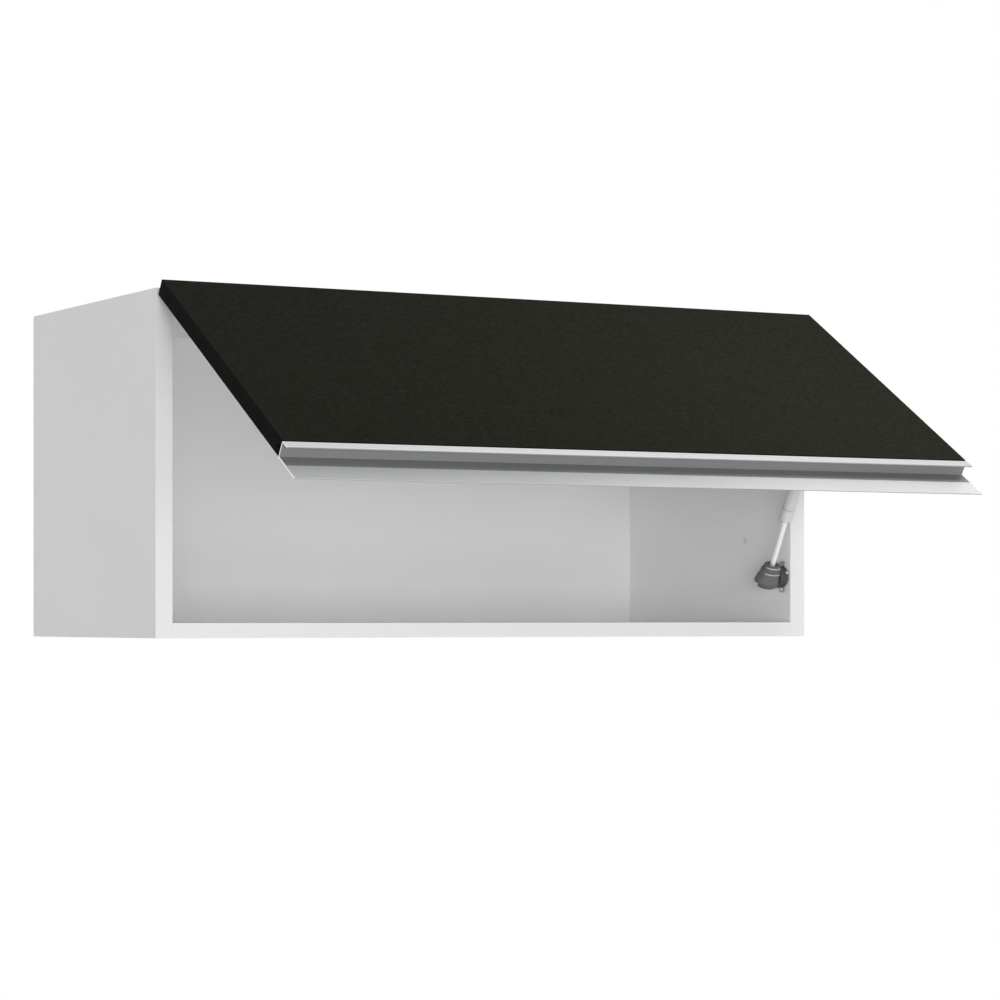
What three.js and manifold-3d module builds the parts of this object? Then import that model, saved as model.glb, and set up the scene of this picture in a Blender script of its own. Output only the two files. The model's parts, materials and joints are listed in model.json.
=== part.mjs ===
// Lift-up kitchen wall cabinet: a white carcass, one flap door with an aluminium grip profile on
// its lower edge, two concealed hinges under the top panel and one gas strut on the right side.
// Units are millimetres. X runs across the cabinet, +Y goes to the wall and +Z is up. The origin is
// the middle of the back panel's rear face. The door stands open, held by the extended strut.

import * as THREE from 'three';
import { mergeVertices } from 'three/addons/utils/BufferGeometryUtils.js';
import Module from 'manifold-3d';

const wasm = await Module();
wasm.setup();

// ---------------------------------------------------------------- driving dimensions

const FIT_GAP = 0.3; // clearance between neighbouring pieces that are fitted together
const HOLE_CLEARANCE = 0.1; // radial clearance of a pin or screw in its drilled hole

// carcass
const CARCASS_WIDTH = 800;
const CARCASS_HEIGHT = 360;
const SIDE_DEPTH = 357;
const SIDE_THICKNESS = 19;
const SHELF_THICKNESS = 16; // top and bottom panels
const BACK_THICKNESS = 3;
const BACK_INSET = 1; // the back panel stops this far inside the carcass outline
const BAND_THICKNESS = 1; // edge band on the front edges

// carcass fittings
const FITTING_FRONT_OFFSET = 60; // front cam from the carcass front
const FITTING_REAR_OFFSET = 60; // rear cam from the back panel
const CAM_RADIUS = 7.3;
const CAM_HEIGHT = 12;
const CAM_BACKSET = 34; // cam axis from the panel's end
const CAM_RECESS_WIDTH = 1.6;
const CAM_RECESS_DEPTH = 1.2;
const BOLT_THREAD_RADIUS = 2.4;
const BOLT_THREAD_LENGTH = 11;
const BOLT_SHAFT_RADIUS = 3.4;
const BOLT_NECK_RADIUS = 1.8;
const BOLT_HEAD_RADIUS = 3;
const BOLT_HEAD_LENGTH = 3;
const DOWEL_RADIUS = 3.9;
const DOWEL_IN_SIDE = 12;
const DOWEL_IN_PANEL = 18;
const DOWEL_CHAMFER = 0.8;

// cabinet hangers in the upper rear corners
const HANGER_WIDTH = 20;
const HANGER_DEPTH = 45;
const HANGER_HEIGHT = 62;
const HANGER_BEVEL = 5;
const HANGER_SCREW_RADIUS = 4; // access recess of each adjusting screw
const HANGER_SCREW_DEPTH = 5;
const HANGER_SCREW_SPACING = 26;
const HOOK_THICKNESS = 3;
const HOOK_LENGTH = 20;
const HOOK_HEIGHT = 22;
const HOOK_LIP = 4;
const HOOK_CLEARANCE = 0.8;
const HOOK_RECESS = 0.6; // the hook stops this far short of the wall plane
const BACK_CUTOUT_MARGIN = 5; // around the hook

// flap door
const DOOR_HEIGHT = 345;
const DOOR_THICKNESS = 18;
const DOOR_SIDE_REVEAL = 1.5; // door edge inside the carcass outline
const DOOR_TOP_REVEAL = 2;
const DOOR_GAP = 2; // door back to carcass front when closed
const DOOR_OPEN_DEG = 58.7;
const AXIS_FORWARD = 7.7; // virtual hinge axis in front of the carcass front
const AXIS_DROP = 3.9; // and below the carcass top

// aluminium grip profile
const PROFILE_WALL = 1.4;
const PROFILE_LIP = 13; // front lip beyond the door's lower edge
const PROFILE_FLANGE = 43; // rear flange beyond the door's lower edge
const PROFILE_CORNER_RADIUS = 2.4;
const TONGUE_HEIGHT = 8;
const TONGUE_THICKNESS = 1.4;
const TONGUE_BARB = 0.6;
const GROOVE_CLEARANCE = 0.4;
const GROOVE_EXTRA_DEPTH = 1;

// door buffers
const BUFFER_RADIUS = 4;
const BUFFER_ABOVE_EDGE = 17; // buffer centre above the door's lower edge

// concealed hinges
const HINGE_FROM_SIDE = 100; // hinge centre from the carcass outline
const CUP_RADIUS = 17.5;
const CUP_DEPTH = 12.5;
const CUP_WALL = 0.9;
const CUP_EDGE_DISTANCE = 3.5; // cup rim from the door's upper edge
const CUP_FLANGE_WIDTH = 52;
const CUP_FLANGE_HEIGHT = 26;
const CUP_FLANGE_THICKNESS = 1.1;
const CUP_PIVOT_PROUD = 1.5; // cup pivot behind the door's back face
const CUP_PIVOT_ABOVE_CENTRE = 2.7;
const CUP_STUD_RADIUS = 1.5;
const CUP_CHEEK_WIDTH = 5;
const ARM_PIVOT_RADIUS = 25; // arm pivot from the virtual hinge axis
const PIN_RADIUS = 1.5;
const LINK_WIDTH = 7.6;
const LINK_EYE_RADIUS = 2.5;
const LINK_BORE_CLEARANCE = 0.3;
const ARM_WIDTH = 16;
const ARM_WALL = 2;
const ARM_HEIGHT = 9;
const ARM_BELOW_TOP = 6; // arm's upper edge below the top panel
const ARM_REAR = 62; // rear end of the arm behind the carcass front
const NOSE_RADIUS = 2.2;
const PLATE_THICKNESS = 3;
const PLATE_WING_WIDTH = 52;
const PLATE_WING_DEPTH = 18;
const PLATE_WING_OFFSET = 37; // wing centre line behind the carcass front
const RAIL_WIDTH = 11;
const RAIL_LENGTH = 40;
const RAIL_HEIGHT = 5;

// gas strut
const STRUT_FROM_SIDE = 20; // strut plane from the right side's inner face
const STRUT_FOOT_BEHIND_FRONT = 14;
const STRUT_FOOT_HEIGHT = 68; // above the carcass's lower face
const STRUT_HEAD_FROM_DOOR_TOP = 120;
const STRUT_HEAD_STANDOFF = 28; // strut head from the door's back
const ROD_RADIUS = 3.1;
const TUBE_RADIUS = 7.5;
const TUBE_WALL = 1.3;
const ROD_RUNNING_GAP = 0.3;
const STROKE_RESERVE = 2; // the tube stops this far short of the foot socket when closed
const GUIDE_LENGTH = 15;
const GUIDE_SPIGOT = 8;
const GUIDE_ROUNDING = 1.8;
const TUBE_NECK_RADIUS = 3.6;
const PISTON_LENGTH = 8;
const HEAD_EYE_RADIUS = 7;
const HEAD_EYE_WIDTH = 15.6;
const HEAD_NECK_RADIUS = 5;
const HEAD_NECK_LENGTH = 8;
const FOOT_HOOD_WIDTH = 34; // across the cabinet
const FOOT_HOOD_DEPTH = 25;
const FOOT_HOOD_TOP_WIDTH = 19;
const FOOT_HOOD_TOP_DEPTH = 17;
const FOOT_HOOD_ABOVE = 16; // above the foot pivot, along the strut
const FOOT_HOOD_BELOW = 13;
const BALL_RADIUS = 5;
const BALL_PIN_RADIUS = 3;
const BALL_CLEARANCE = 0.4;

// strut brackets
const FOOT_PLATE_THICKNESS = 2.5;
const FOOT_PLATE_WIDTH = 22;
const FOOT_PLATE_HEIGHT = 36;
const FOOT_SCREW_SPACING = 25;
const HEAD_PLATE_THICKNESS = 2.5;
const HEAD_PLATE_WIDTH = 28;
const HEAD_PLATE_HEIGHT = 36;
const HEAD_EAR_OFFSET = 11; // ear from the strut plane
const HEAD_STUD_RADIUS = 4;
const SCREW_HEAD_RADIUS = 3.2;
const SCREW_HEAD_HEIGHT = 1.8;
const SCREW_SHANK_RADIUS = 1.6;
const SCREW_LENGTH = 13;

// plug in the spare hole of the right side
const PLUG_BEHIND_FRONT = 94;
const PLUG_HEIGHT = 111;
const PLUG_HEAD_RADIUS = 3.4;
const PLUG_HEAD_HEIGHT = 0.8;
const PLUG_SHANK_RADIUS = 2.4;
const PLUG_SHANK_LENGTH = 8;

const ROUND_STEPS = 24;
const SMALL_ROUND_STEPS = 12;
const HOOD_STEPS = 28;

// ---------------------------------------------------------------- derived places

const FRONT = -(SIDE_DEPTH + BACK_THICKNESS); // carcass front plane
const CARCASS_REAR = -BACK_THICKNESS; // rear edge of the sides, top and bottom
const TOP = CARCASS_HEIGHT / 2;
const BOTTOM = -CARCASS_HEIGHT / 2;
const OUTER_X = CARCASS_WIDTH / 2;
const INNER_X = OUTER_X - SIDE_THICKNESS;
const TOP_INNER = TOP - SHELF_THICKNESS; // underside of the top panel
const BOTTOM_INNER = BOTTOM + SHELF_THICKNESS;
const PANEL_FRONT = FRONT + BAND_THICKNESS; // front edge of the boards behind their band

const DOOR_BACK = FRONT - DOOR_GAP; // closed door
const DOOR_FACE = DOOR_BACK - DOOR_THICKNESS;
const DOOR_TOP = TOP - DOOR_TOP_REVEAL;
const DOOR_EDGE = DOOR_TOP - DOOR_HEIGHT;
const DOOR_HALF = OUTER_X - DOOR_SIDE_REVEAL;
const OPEN_ANGLE = THREE.MathUtils.degToRad(DOOR_OPEN_DEG);
const AXIS = new THREE.Vector2(FRONT - AXIS_FORWARD, TOP - AXIS_DROP); // (y, z)

// A point of the closed door, as (y, z), carried to the open door.
function opened(point) {
  return point.clone().rotateAround(AXIS, -OPEN_ANGLE);
}

// hinge pivots, as (y, z)
const CUP_CENTRE_Z = DOOR_TOP - CUP_EDGE_DISTANCE - CUP_RADIUS;
const CUP_PIVOT = new THREE.Vector2(DOOR_BACK + CUP_PIVOT_PROUD, CUP_CENTRE_Z + CUP_PIVOT_ABOVE_CENTRE);
const CUP_PIVOT_OPEN = opened(CUP_PIVOT);
const ARM_PIVOT = CUP_PIVOT.clone()
  .add(CUP_PIVOT_OPEN)
  .multiplyScalar(0.5)
  .sub(AXIS)
  .setLength(ARM_PIVOT_RADIUS)
  .add(AXIS);
const LINK_LENGTH = ARM_PIVOT.distanceTo(CUP_PIVOT_OPEN);

// strut pivots, as (y, z)
const STRUT_X = INNER_X - STRUT_FROM_SIDE;
const FOOT = new THREE.Vector2(FRONT + STRUT_FOOT_BEHIND_FRONT, BOTTOM + STRUT_FOOT_HEIGHT);
const HEAD_CLOSED = new THREE.Vector2(DOOR_BACK + STRUT_HEAD_STANDOFF, DOOR_TOP - STRUT_HEAD_FROM_DOOR_TOP);
const HEAD_OPEN = opened(HEAD_CLOSED);
const STRUT_OPEN_LENGTH = FOOT.distanceTo(HEAD_OPEN);
const STRUT_CLOSED_LENGTH = FOOT.distanceTo(HEAD_CLOSED);
const STRUT_STROKE = STRUT_OPEN_LENGTH - STRUT_CLOSED_LENGTH;

// ---------------------------------------------------------------- materials

function finish(color, roughness, metalness) {
  return new THREE.MeshStandardMaterial({ color, roughness, metalness });
}

const WHITE_BOARD = finish(0xe9eaec, 0.5, 0);
const WHITE_BACK = finish(0xe2e3e5, 0.6, 0);
const WHITE_BAND = finish(0xf0f1f3, 0.42, 0);
const BLACK_DOOR = finish(0x25261f, 0.55, 0);
const ALUMINIUM = finish(0xd2d4d6, 0.28, 0.95);
const NICKEL = finish(0xb8bbc0, 0.3, 1);
const ZINC = finish(0x9ea3a8, 0.4, 1);
const WHITE_STEEL = finish(0xf0f0f0, 0.35, 0);
const BRIGHT_ROD = finish(0xe6e8ea, 0.16, 1);
const DARK_PLASTIC = finish(0x4a4c50, 0.42, 0);
const WHITE_PLASTIC = finish(0xdcdddf, 0.45, 0);
const BEECH = finish(0xc9a577, 0.7, 0);
const CLEAR_RUBBER = finish(0xd8d9da, 0.35, 0);

// ---------------------------------------------------------------- geometry helpers

// Merges shared vertices, drops empty triangles and turns the faces outwards.
function closed(geometry) {
  geometry.deleteAttribute('normal');
  geometry.deleteAttribute('uv');
  const merged = mergeVertices(geometry, 1e-4);
  const place = merged.getAttribute('position');
  const corner = [new THREE.Vector3(), new THREE.Vector3(), new THREE.Vector3()];
  const faces = [];
  let volume = 0;
  for (let i = 0; i < merged.index.count; i += 3) {
    const ids = [0, 1, 2].map((k) => merged.index.getX(i + k));
    if (ids[0] === ids[1] || ids[1] === ids[2] || ids[2] === ids[0]) continue;
    ids.forEach((id, k) => corner[k].fromBufferAttribute(place, id));
    volume += corner[0].dot(corner[1].clone().cross(corner[2]));
    faces.push(ids);
  }
  const outward = volume > 0 ? faces : faces.map(([a, b, c]) => [a, c, b]);
  merged.setIndex(outward.flat());
  return merged;
}

function toManifold(geometry) {
  const solid = closed(geometry);
  return new wasm.Manifold(
    new wasm.Mesh({
      numProp: 3,
      vertProperties: new Float32Array(solid.getAttribute('position').array),
      triVerts: new Uint32Array(solid.index.array),
    }),
  );
}

function fromManifold(solid) {
  const mesh = solid.getMesh();
  const geometry = new THREE.BufferGeometry();
  geometry.setAttribute('position', new THREE.BufferAttribute(mesh.vertProperties, 3));
  geometry.setIndex(new THREE.BufferAttribute(mesh.triVerts, 1));
  return geometry;
}

function cut(body, ...tools) {
  return fromManifold(tools.reduce((solid, tool) => solid.subtract(toManifold(tool)), toManifold(body)));
}

function join(body, ...others) {
  return fromManifold(others.reduce((solid, other) => solid.add(toManifold(other)), toManifold(body)));
}

function box(x0, x1, y0, y1, z0, z1) {
  const geometry = new THREE.BoxGeometry(Math.abs(x1 - x0), Math.abs(y1 - y0), Math.abs(z1 - z0));
  return geometry.translate((x0 + x1) / 2, (y0 + y1) / 2, (z0 + z1) / 2);
}

// A round bar along X, Y or Z from one coordinate to another; a and b are the other two, in order.
function bar(axis, radius, from, to, a, b, steps = SMALL_ROUND_STEPS) {
  const geometry = new THREE.CylinderGeometry(radius, radius, Math.abs(to - from), steps);
  const middle = (from + to) / 2;
  if (axis === 'x') return geometry.rotateZ(Math.PI / 2).translate(middle, a, b);
  if (axis === 'y') return geometry.translate(a, middle, b);
  return geometry.rotateX(Math.PI / 2).translate(a, b, middle);
}

// A turned piece: [radius, height] pairs from one end to the other, about +Z.
function turned(profile, steps = ROUND_STEPS) {
  const points = profile.map(([radius, height]) => new THREE.Vector2(radius, height));
  return new THREE.LatheGeometry(points, steps).rotateX(Math.PI / 2);
}

// An outline in the Y-Z plane, extruded along X.
function extrudedAlongX(shape, x0, x1, curveSegments = 6) {
  const geometry = new THREE.ExtrudeGeometry(shape, { depth: x1 - x0, bevelEnabled: false, curveSegments });
  const turn = new THREE.Matrix4().set(0, 0, 1, x0, 1, 0, 0, 0, 0, 1, 0, 0, 0, 0, 0, 1);
  return geometry.applyMatrix4(turn);
}

function outline(points) {
  return new THREE.Shape(points.map(([y, z]) => new THREE.Vector2(y, z)));
}

function piece(parent, name, geometry, material) {
  const mesh = new THREE.Mesh(closed(geometry), material);
  mesh.name = name;
  parent.add(mesh);
  return mesh;
}

// A group whose local origin is a pivot in the Y-Z plane, turned about X.
function pivotGroup(parent, x, pivot, angle) {
  const group = new THREE.Group();
  group.position.set(x, pivot.x, pivot.y);
  group.rotation.x = angle;
  parent.add(group);
  return group;
}

const SIDES = [
  { name: 'left', sign: -1 },
  { name: 'right', sign: 1 },
];
const LEVELS = [
  { name: 'top', inner: TOP_INNER, middle: TOP - SHELF_THICKNESS / 2, camFace: TOP },
  { name: 'bottom', inner: BOTTOM_INNER, middle: BOTTOM + SHELF_THICKNESS / 2, camFace: BOTTOM_INNER },
];
const CAM_ROWS = [
  { name: 'front', y: FRONT + FITTING_FRONT_OFFSET },
  { name: 'rear', y: CARCASS_REAR - FITTING_REAR_OFFSET },
];
const DOWEL_Y = (CAM_ROWS[0].y + CAM_ROWS[1].y) / 2;
const FOOT_SCREW_Z = [-1, 1].map((way) => FOOT.y + (way * FOOT_SCREW_SPACING) / 2);
const PLUG = new THREE.Vector2(FRONT + PLUG_BEHIND_FRONT, BOTTOM + PLUG_HEIGHT);

// ---------------------------------------------------------------- carcass

function sidePanel(side) {
  const inner = side.sign * INNER_X;
  const into = side.sign; // from the inner face into the board
  const holes = [];
  for (const level of LEVELS) {
    for (const row of CAM_ROWS) {
      const end = inner + into * (BOLT_THREAD_LENGTH + FIT_GAP);
      holes.push(bar('x', BOLT_THREAD_RADIUS + HOLE_CLEARANCE, inner - into, end, row.y, level.middle));
    }
    const end = inner + into * (DOWEL_IN_SIDE + FIT_GAP);
    holes.push(bar('x', DOWEL_RADIUS + HOLE_CLEARANCE, inner - into, end, DOWEL_Y, level.middle));
  }
  if (side.name === 'right') {
    const screwEnd = inner + into * (SCREW_LENGTH - FOOT_PLATE_THICKNESS + FIT_GAP);
    for (const z of FOOT_SCREW_Z) {
      holes.push(bar('x', SCREW_SHANK_RADIUS + HOLE_CLEARANCE, inner - into, screwEnd, FOOT.x, z));
    }
    const plugEnd = inner + into * (PLUG_SHANK_LENGTH + FIT_GAP);
    holes.push(bar('x', PLUG_SHANK_RADIUS + HOLE_CLEARANCE, inner - into, plugEnd, PLUG.x, PLUG.y));
  }
  const board = box(side.sign * INNER_X, side.sign * OUTER_X, PANEL_FRONT, CARCASS_REAR, BOTTOM, TOP);
  return cut(board, ...holes);
}

function shelfPanel(level) {
  const camFloor = level.camFace - CAM_HEIGHT - FIT_GAP;
  const holes = [];
  for (const side of SIDES) {
    const end = side.sign * INNER_X;
    for (const row of CAM_ROWS) {
      const camX = end - side.sign * CAM_BACKSET;
      holes.push(bar('x', BOLT_SHAFT_RADIUS + HOLE_CLEARANCE, end + side.sign, camX, row.y, level.middle));
      const over = level.camFace + 1;
      holes.push(bar('z', CAM_RADIUS + HOLE_CLEARANCE, camFloor, over, camX, row.y, ROUND_STEPS));
    }
    const dowelEnd = end - side.sign * (DOWEL_IN_PANEL + FIT_GAP);
    holes.push(bar('x', DOWEL_RADIUS + HOLE_CLEARANCE, end + side.sign, dowelEnd, DOWEL_Y, level.middle));
  }
  const z = level.middle;
  const half = SHELF_THICKNESS / 2;
  return cut(box(-INNER_X, INNER_X, PANEL_FRONT, CARCASS_REAR, z - half, z + half), ...holes);
}

const HANGER_Z = TOP_INNER - HANGER_HEIGHT / 2;
const HANGER_REAR = CARCASS_REAR - FIT_GAP;

function hookX(side) {
  return side.sign * (INNER_X - HANGER_WIDTH / 2);
}

function backPanel() {
  const cutouts = SIDES.map((side) => {
    const half = HOOK_THICKNESS / 2 + BACK_CUTOUT_MARGIN;
    const tall = HOOK_HEIGHT / 2 + BACK_CUTOUT_MARGIN;
    const x = hookX(side);
    return box(x - half, x + half, -BACK_THICKNESS - 1, 1, HANGER_Z - tall, HANGER_Z + tall);
  });
  const x = OUTER_X - BACK_INSET;
  return cut(box(-x, x, -BACK_THICKNESS, 0, BOTTOM + BACK_INSET, TOP - BACK_INSET), ...cutouts);
}

function camLock(side, level, row) {
  const x = side.sign * (INNER_X - CAM_BACKSET);
  const top = level.camFace;
  const body = bar('z', CAM_RADIUS, top - CAM_HEIGHT, top, x, row.y, ROUND_STEPS);
  const reach = side.sign * (CAM_RADIUS + 1);
  const slotHalf = BOLT_HEAD_RADIUS + 2 * FIT_GAP;
  const z = level.middle;
  const past = x - side.sign * (BOLT_HEAD_LENGTH + FIT_GAP);
  const boltSlot = box(past, x + reach, row.y - slotHalf, row.y + slotHalf, z - slotHalf, z + slotHalf);
  const half = CAM_RECESS_WIDTH / 2;
  const arm = CAM_RADIUS * 0.6;
  const floor = top - CAM_RECESS_DEPTH;
  const recess = join(
    box(x - arm, x + arm, row.y - half, row.y + half, floor, top + 1),
    box(x - half, x + half, row.y - arm, row.y + arm, floor, top + 1),
  );
  return cut(body, boltSlot, recess);
}

function camBolt(side, level, row) {
  const shaftEnd = CAM_BACKSET - CAM_RADIUS - 2 * FIT_GAP;
  const headStart = CAM_BACKSET;
  const headEnd = CAM_BACKSET + BOLT_HEAD_LENGTH - FIT_GAP;
  const bolt = turned(
    [
      [0, -BOLT_THREAD_LENGTH],
      [BOLT_THREAD_RADIUS, -BOLT_THREAD_LENGTH],
      [BOLT_THREAD_RADIUS, 0],
      [BOLT_SHAFT_RADIUS, 0],
      [BOLT_SHAFT_RADIUS, shaftEnd],
      [BOLT_NECK_RADIUS, shaftEnd + 1],
      [BOLT_NECK_RADIUS, headStart - 1],
      [BOLT_HEAD_RADIUS, headStart],
      [BOLT_HEAD_RADIUS, headEnd],
      [0, headEnd],
    ],
    SMALL_ROUND_STEPS,
  );
  bolt.rotateY(-side.sign * (Math.PI / 2));
  return bolt.translate(side.sign * INNER_X, row.y, level.middle);
}

function dowel(side, level) {
  const slim = DOWEL_RADIUS - DOWEL_CHAMFER;
  const peg = turned(
    [
      [0, -DOWEL_IN_SIDE],
      [slim, -DOWEL_IN_SIDE],
      [DOWEL_RADIUS, DOWEL_CHAMFER - DOWEL_IN_SIDE],
      [DOWEL_RADIUS, DOWEL_IN_PANEL - DOWEL_CHAMFER],
      [slim, DOWEL_IN_PANEL],
      [0, DOWEL_IN_PANEL],
    ],
    SMALL_ROUND_STEPS,
  );
  peg.rotateY(-side.sign * (Math.PI / 2));
  return peg.translate(side.sign * INNER_X, DOWEL_Y, level.middle);
}

function buildCarcass(cabinet) {
  for (const side of SIDES) {
    piece(cabinet, `side_panel_${side.name}`, sidePanel(side), WHITE_BOARD);
    const band = box(side.sign * INNER_X, side.sign * OUTER_X, FRONT, PANEL_FRONT, BOTTOM, TOP);
    piece(cabinet, `edge_band_${side.name}`, band, WHITE_BAND);
  }
  for (const level of LEVELS) {
    piece(cabinet, `${level.name}_panel`, shelfPanel(level), WHITE_BOARD);
    const half = SHELF_THICKNESS / 2;
    const band = box(-INNER_X, INNER_X, FRONT, PANEL_FRONT, level.middle - half, level.middle + half);
    piece(cabinet, `edge_band_${level.name}`, band, WHITE_BAND);
  }
  piece(cabinet, 'back_panel', backPanel(), WHITE_BACK);
  for (const level of LEVELS) {
    for (const side of SIDES) {
      for (const row of CAM_ROWS) {
        const place = `${level.name}_${side.name}_${row.name}`;
        piece(cabinet, `cam_lock_${place}`, camLock(side, level, row), ZINC);
        piece(cabinet, `cam_bolt_${place}`, camBolt(side, level, row), ZINC);
      }
      piece(cabinet, `dowel_${level.name}_${side.name}`, dowel(side, level), BEECH);
    }
  }
  const plug = turned([
    [0, -PLUG_SHANK_LENGTH],
    [PLUG_SHANK_RADIUS, -PLUG_SHANK_LENGTH],
    [PLUG_SHANK_RADIUS, 0],
    [PLUG_HEAD_RADIUS, 0],
    [PLUG_HEAD_RADIUS, PLUG_HEAD_HEIGHT / 2],
    [PLUG_HEAD_RADIUS * 0.8, PLUG_HEAD_HEIGHT],
    [0, PLUG_HEAD_HEIGHT],
  ], SMALL_ROUND_STEPS);
  plug.rotateY(-Math.PI / 2).translate(INNER_X, PLUG.x, PLUG.y);
  piece(cabinet, 'spare_hole_plug', plug, CLEAR_RUBBER);
}

// ---------------------------------------------------------------- cabinet hangers

function hangerHousing(side) {
  const front = HANGER_REAR - HANGER_DEPTH;
  const wall = side.sign * INNER_X;
  const free = side.sign * (INNER_X - HANGER_WIDTH);
  const low = TOP_INNER - HANGER_HEIGHT;
  const shape = outline([
    [HANGER_REAR, low],
    [front + HANGER_BEVEL, low],
    [front, low + HANGER_BEVEL],
    [front, TOP_INNER - HANGER_BEVEL],
    [front + HANGER_BEVEL, TOP_INNER],
    [HANGER_REAR, TOP_INNER],
  ]);
  const body = extrudedAlongX(shape, Math.min(wall, free), Math.max(wall, free));
  const x = hookX(side);
  const screws = [-1, 1].map((way) => {
    const z = HANGER_Z + (way * HANGER_SCREW_SPACING) / 2;
    return bar('y', HANGER_SCREW_RADIUS, front - 1, front + HANGER_SCREW_DEPTH, x, z);
  });
  const half = HOOK_THICKNESS / 2 + HOOK_CLEARANCE;
  const tall = HOOK_HEIGHT / 2 + HOOK_CLEARANCE;
  const depth = HANGER_REAR - HOOK_LENGTH - HOOK_CLEARANCE;
  const slot = box(x - half, x + half, depth, HANGER_REAR + 1, HANGER_Z - tall, HANGER_Z + tall);
  return cut(body, slot, ...screws);
}

function hangerHook(side) {
  const tip = -HOOK_RECESS;
  const root = HANGER_REAR - HOOK_LENGTH;
  const high = HANGER_Z + HOOK_HEIGHT / 2;
  const low = HANGER_Z - HOOK_HEIGHT / 2;
  const throat = tip - 2 * HOOK_RECESS;
  const shape = outline([
    [root, low + HOOK_LIP],
    [throat, low + HOOK_LIP],
    [throat, low],
    [tip, low],
    [tip, high],
    [root, high],
  ]);
  const x = hookX(side);
  return extrudedAlongX(shape, x - HOOK_THICKNESS / 2, x + HOOK_THICKNESS / 2);
}

function buildHangers(cabinet) {
  for (const side of SIDES) {
    piece(cabinet, `hanger_housing_${side.name}`, hangerHousing(side), WHITE_PLASTIC);
    piece(cabinet, `hanger_hook_${side.name}`, hangerHook(side), ZINC);
  }
}

// ---------------------------------------------------------------- concealed hinges

const HINGE_X = OUTER_X - HINGE_FROM_SIDE;
const ARM_TOP = TOP_INNER - ARM_BELOW_TOP;
const ARM_LOW = ARM_TOP - ARM_HEIGHT;

function hingePlate(x) {
  const y = FRONT + PLATE_WING_OFFSET;
  const z = TOP_INNER;
  const wide = PLATE_WING_WIDTH / 2;
  const deep = PLATE_WING_DEPTH / 2;
  const wings = box(x - wide, x + wide, y - deep, y + deep, z - PLATE_THICKNESS, z);
  const half = RAIL_WIDTH / 2;
  const long = RAIL_LENGTH / 2;
  const low = z - PLATE_THICKNESS - RAIL_HEIGHT;
  return join(wings, box(x - half, x + half, y - long, y + long, low, z));
}

// The arm hangs from the plate's rail as an open channel, and its forked nose holds the link's pin.
function hingeArm(x) {
  const { x: py, y: pz } = ARM_PIVOT;
  const shape = new THREE.Shape();
  shape.moveTo(FRONT + ARM_REAR, ARM_LOW);
  shape.lineTo(FRONT + ARM_REAR, ARM_TOP);
  shape.lineTo(FRONT + ARM_HEIGHT, ARM_TOP);
  shape.lineTo(FRONT + ARM_WALL, pz + 2 * NOSE_RADIUS);
  shape.lineTo(py, pz + NOSE_RADIUS);
  shape.absarc(py, pz, NOSE_RADIUS, Math.PI / 2, (3 * Math.PI) / 2, false);
  shape.lineTo(FRONT, ARM_LOW);
  const half = ARM_WIDTH / 2;
  const inner = half - ARM_WALL;
  const forkHalf = LINK_WIDTH / 2 + FIT_GAP;
  const forkEnd = FRONT - 2 * ARM_WALL;
  const floor = ARM_LOW + ARM_WALL;
  const over = ARM_TOP + 1;
  const channel = box(x - inner, x + inner, forkEnd, FRONT + ARM_REAR + 1, floor, over);
  const past = py - 2 * NOSE_RADIUS;
  const fork = box(x - forkHalf, x + forkHalf, past, forkEnd + 1, ARM_LOW - ARM_HEIGHT, over);
  const body = cut(extrudedAlongX(shape, x - half, x + half), channel, fork);
  return join(body, bar('x', PIN_RADIUS, x - forkHalf - 1, x + forkHalf + 1, py, pz, ROUND_STEPS));
}

function hingeLink(x) {
  const shape = new THREE.Shape();
  shape.absarc(0, 0, LINK_EYE_RADIUS, Math.PI, 2 * Math.PI, false);
  shape.absarc(0, LINK_LENGTH, LINK_EYE_RADIUS, 0, Math.PI, false);
  const bore = new THREE.Path();
  bore.absarc(0, 0, PIN_RADIUS + LINK_BORE_CLEARANCE, 0, 2 * Math.PI, true);
  shape.holes.push(bore);
  return extrudedAlongX(shape, x - LINK_WIDTH / 2, x + LINK_WIDTH / 2, 12);
}

// The cup is drawn in the closed door; its mouth faces +Y.
function hingeCup(x) {
  const z = CUP_CENTRE_Z;
  const seat = DOOR_BACK + FIT_GAP;
  const face = seat + CUP_FLANGE_THICKNESS;
  const bottom = seat - CUP_DEPTH;
  const shell = bar('y', CUP_RADIUS, bottom, face, x, z, 32);
  const wide = CUP_FLANGE_WIDTH / 2;
  const tall = CUP_FLANGE_HEIGHT / 2;
  const flange = box(x - wide, x + wide, seat, face, z - tall, z + tall);
  const hollow = bar('y', CUP_RADIUS - CUP_WALL, bottom + CUP_WALL, face + 1, x, z, 32);
  const { x: qy, y: qz } = CUP_PIVOT;
  const cheekOut = CUP_RADIUS - CUP_WALL / 2;
  const cheekIn = cheekOut - CUP_CHEEK_WIDTH;
  const stud = LINK_WIDTH / 2 + 2 * FIT_GAP;
  const cheeks = [-1, 1].map((way) => {
    const half = CUP_STUD_RADIUS + 0.5;
    const block = box(x + way * cheekIn, x + way * cheekOut, bottom + 1, qy + half, qz - half, qz + half);
    return join(block, bar('x', CUP_STUD_RADIUS, x + way * stud, x + way * (cheekIn + 1), qy, qz));
  });
  return join(cut(join(shell, flange), hollow), ...cheeks);
}

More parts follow.
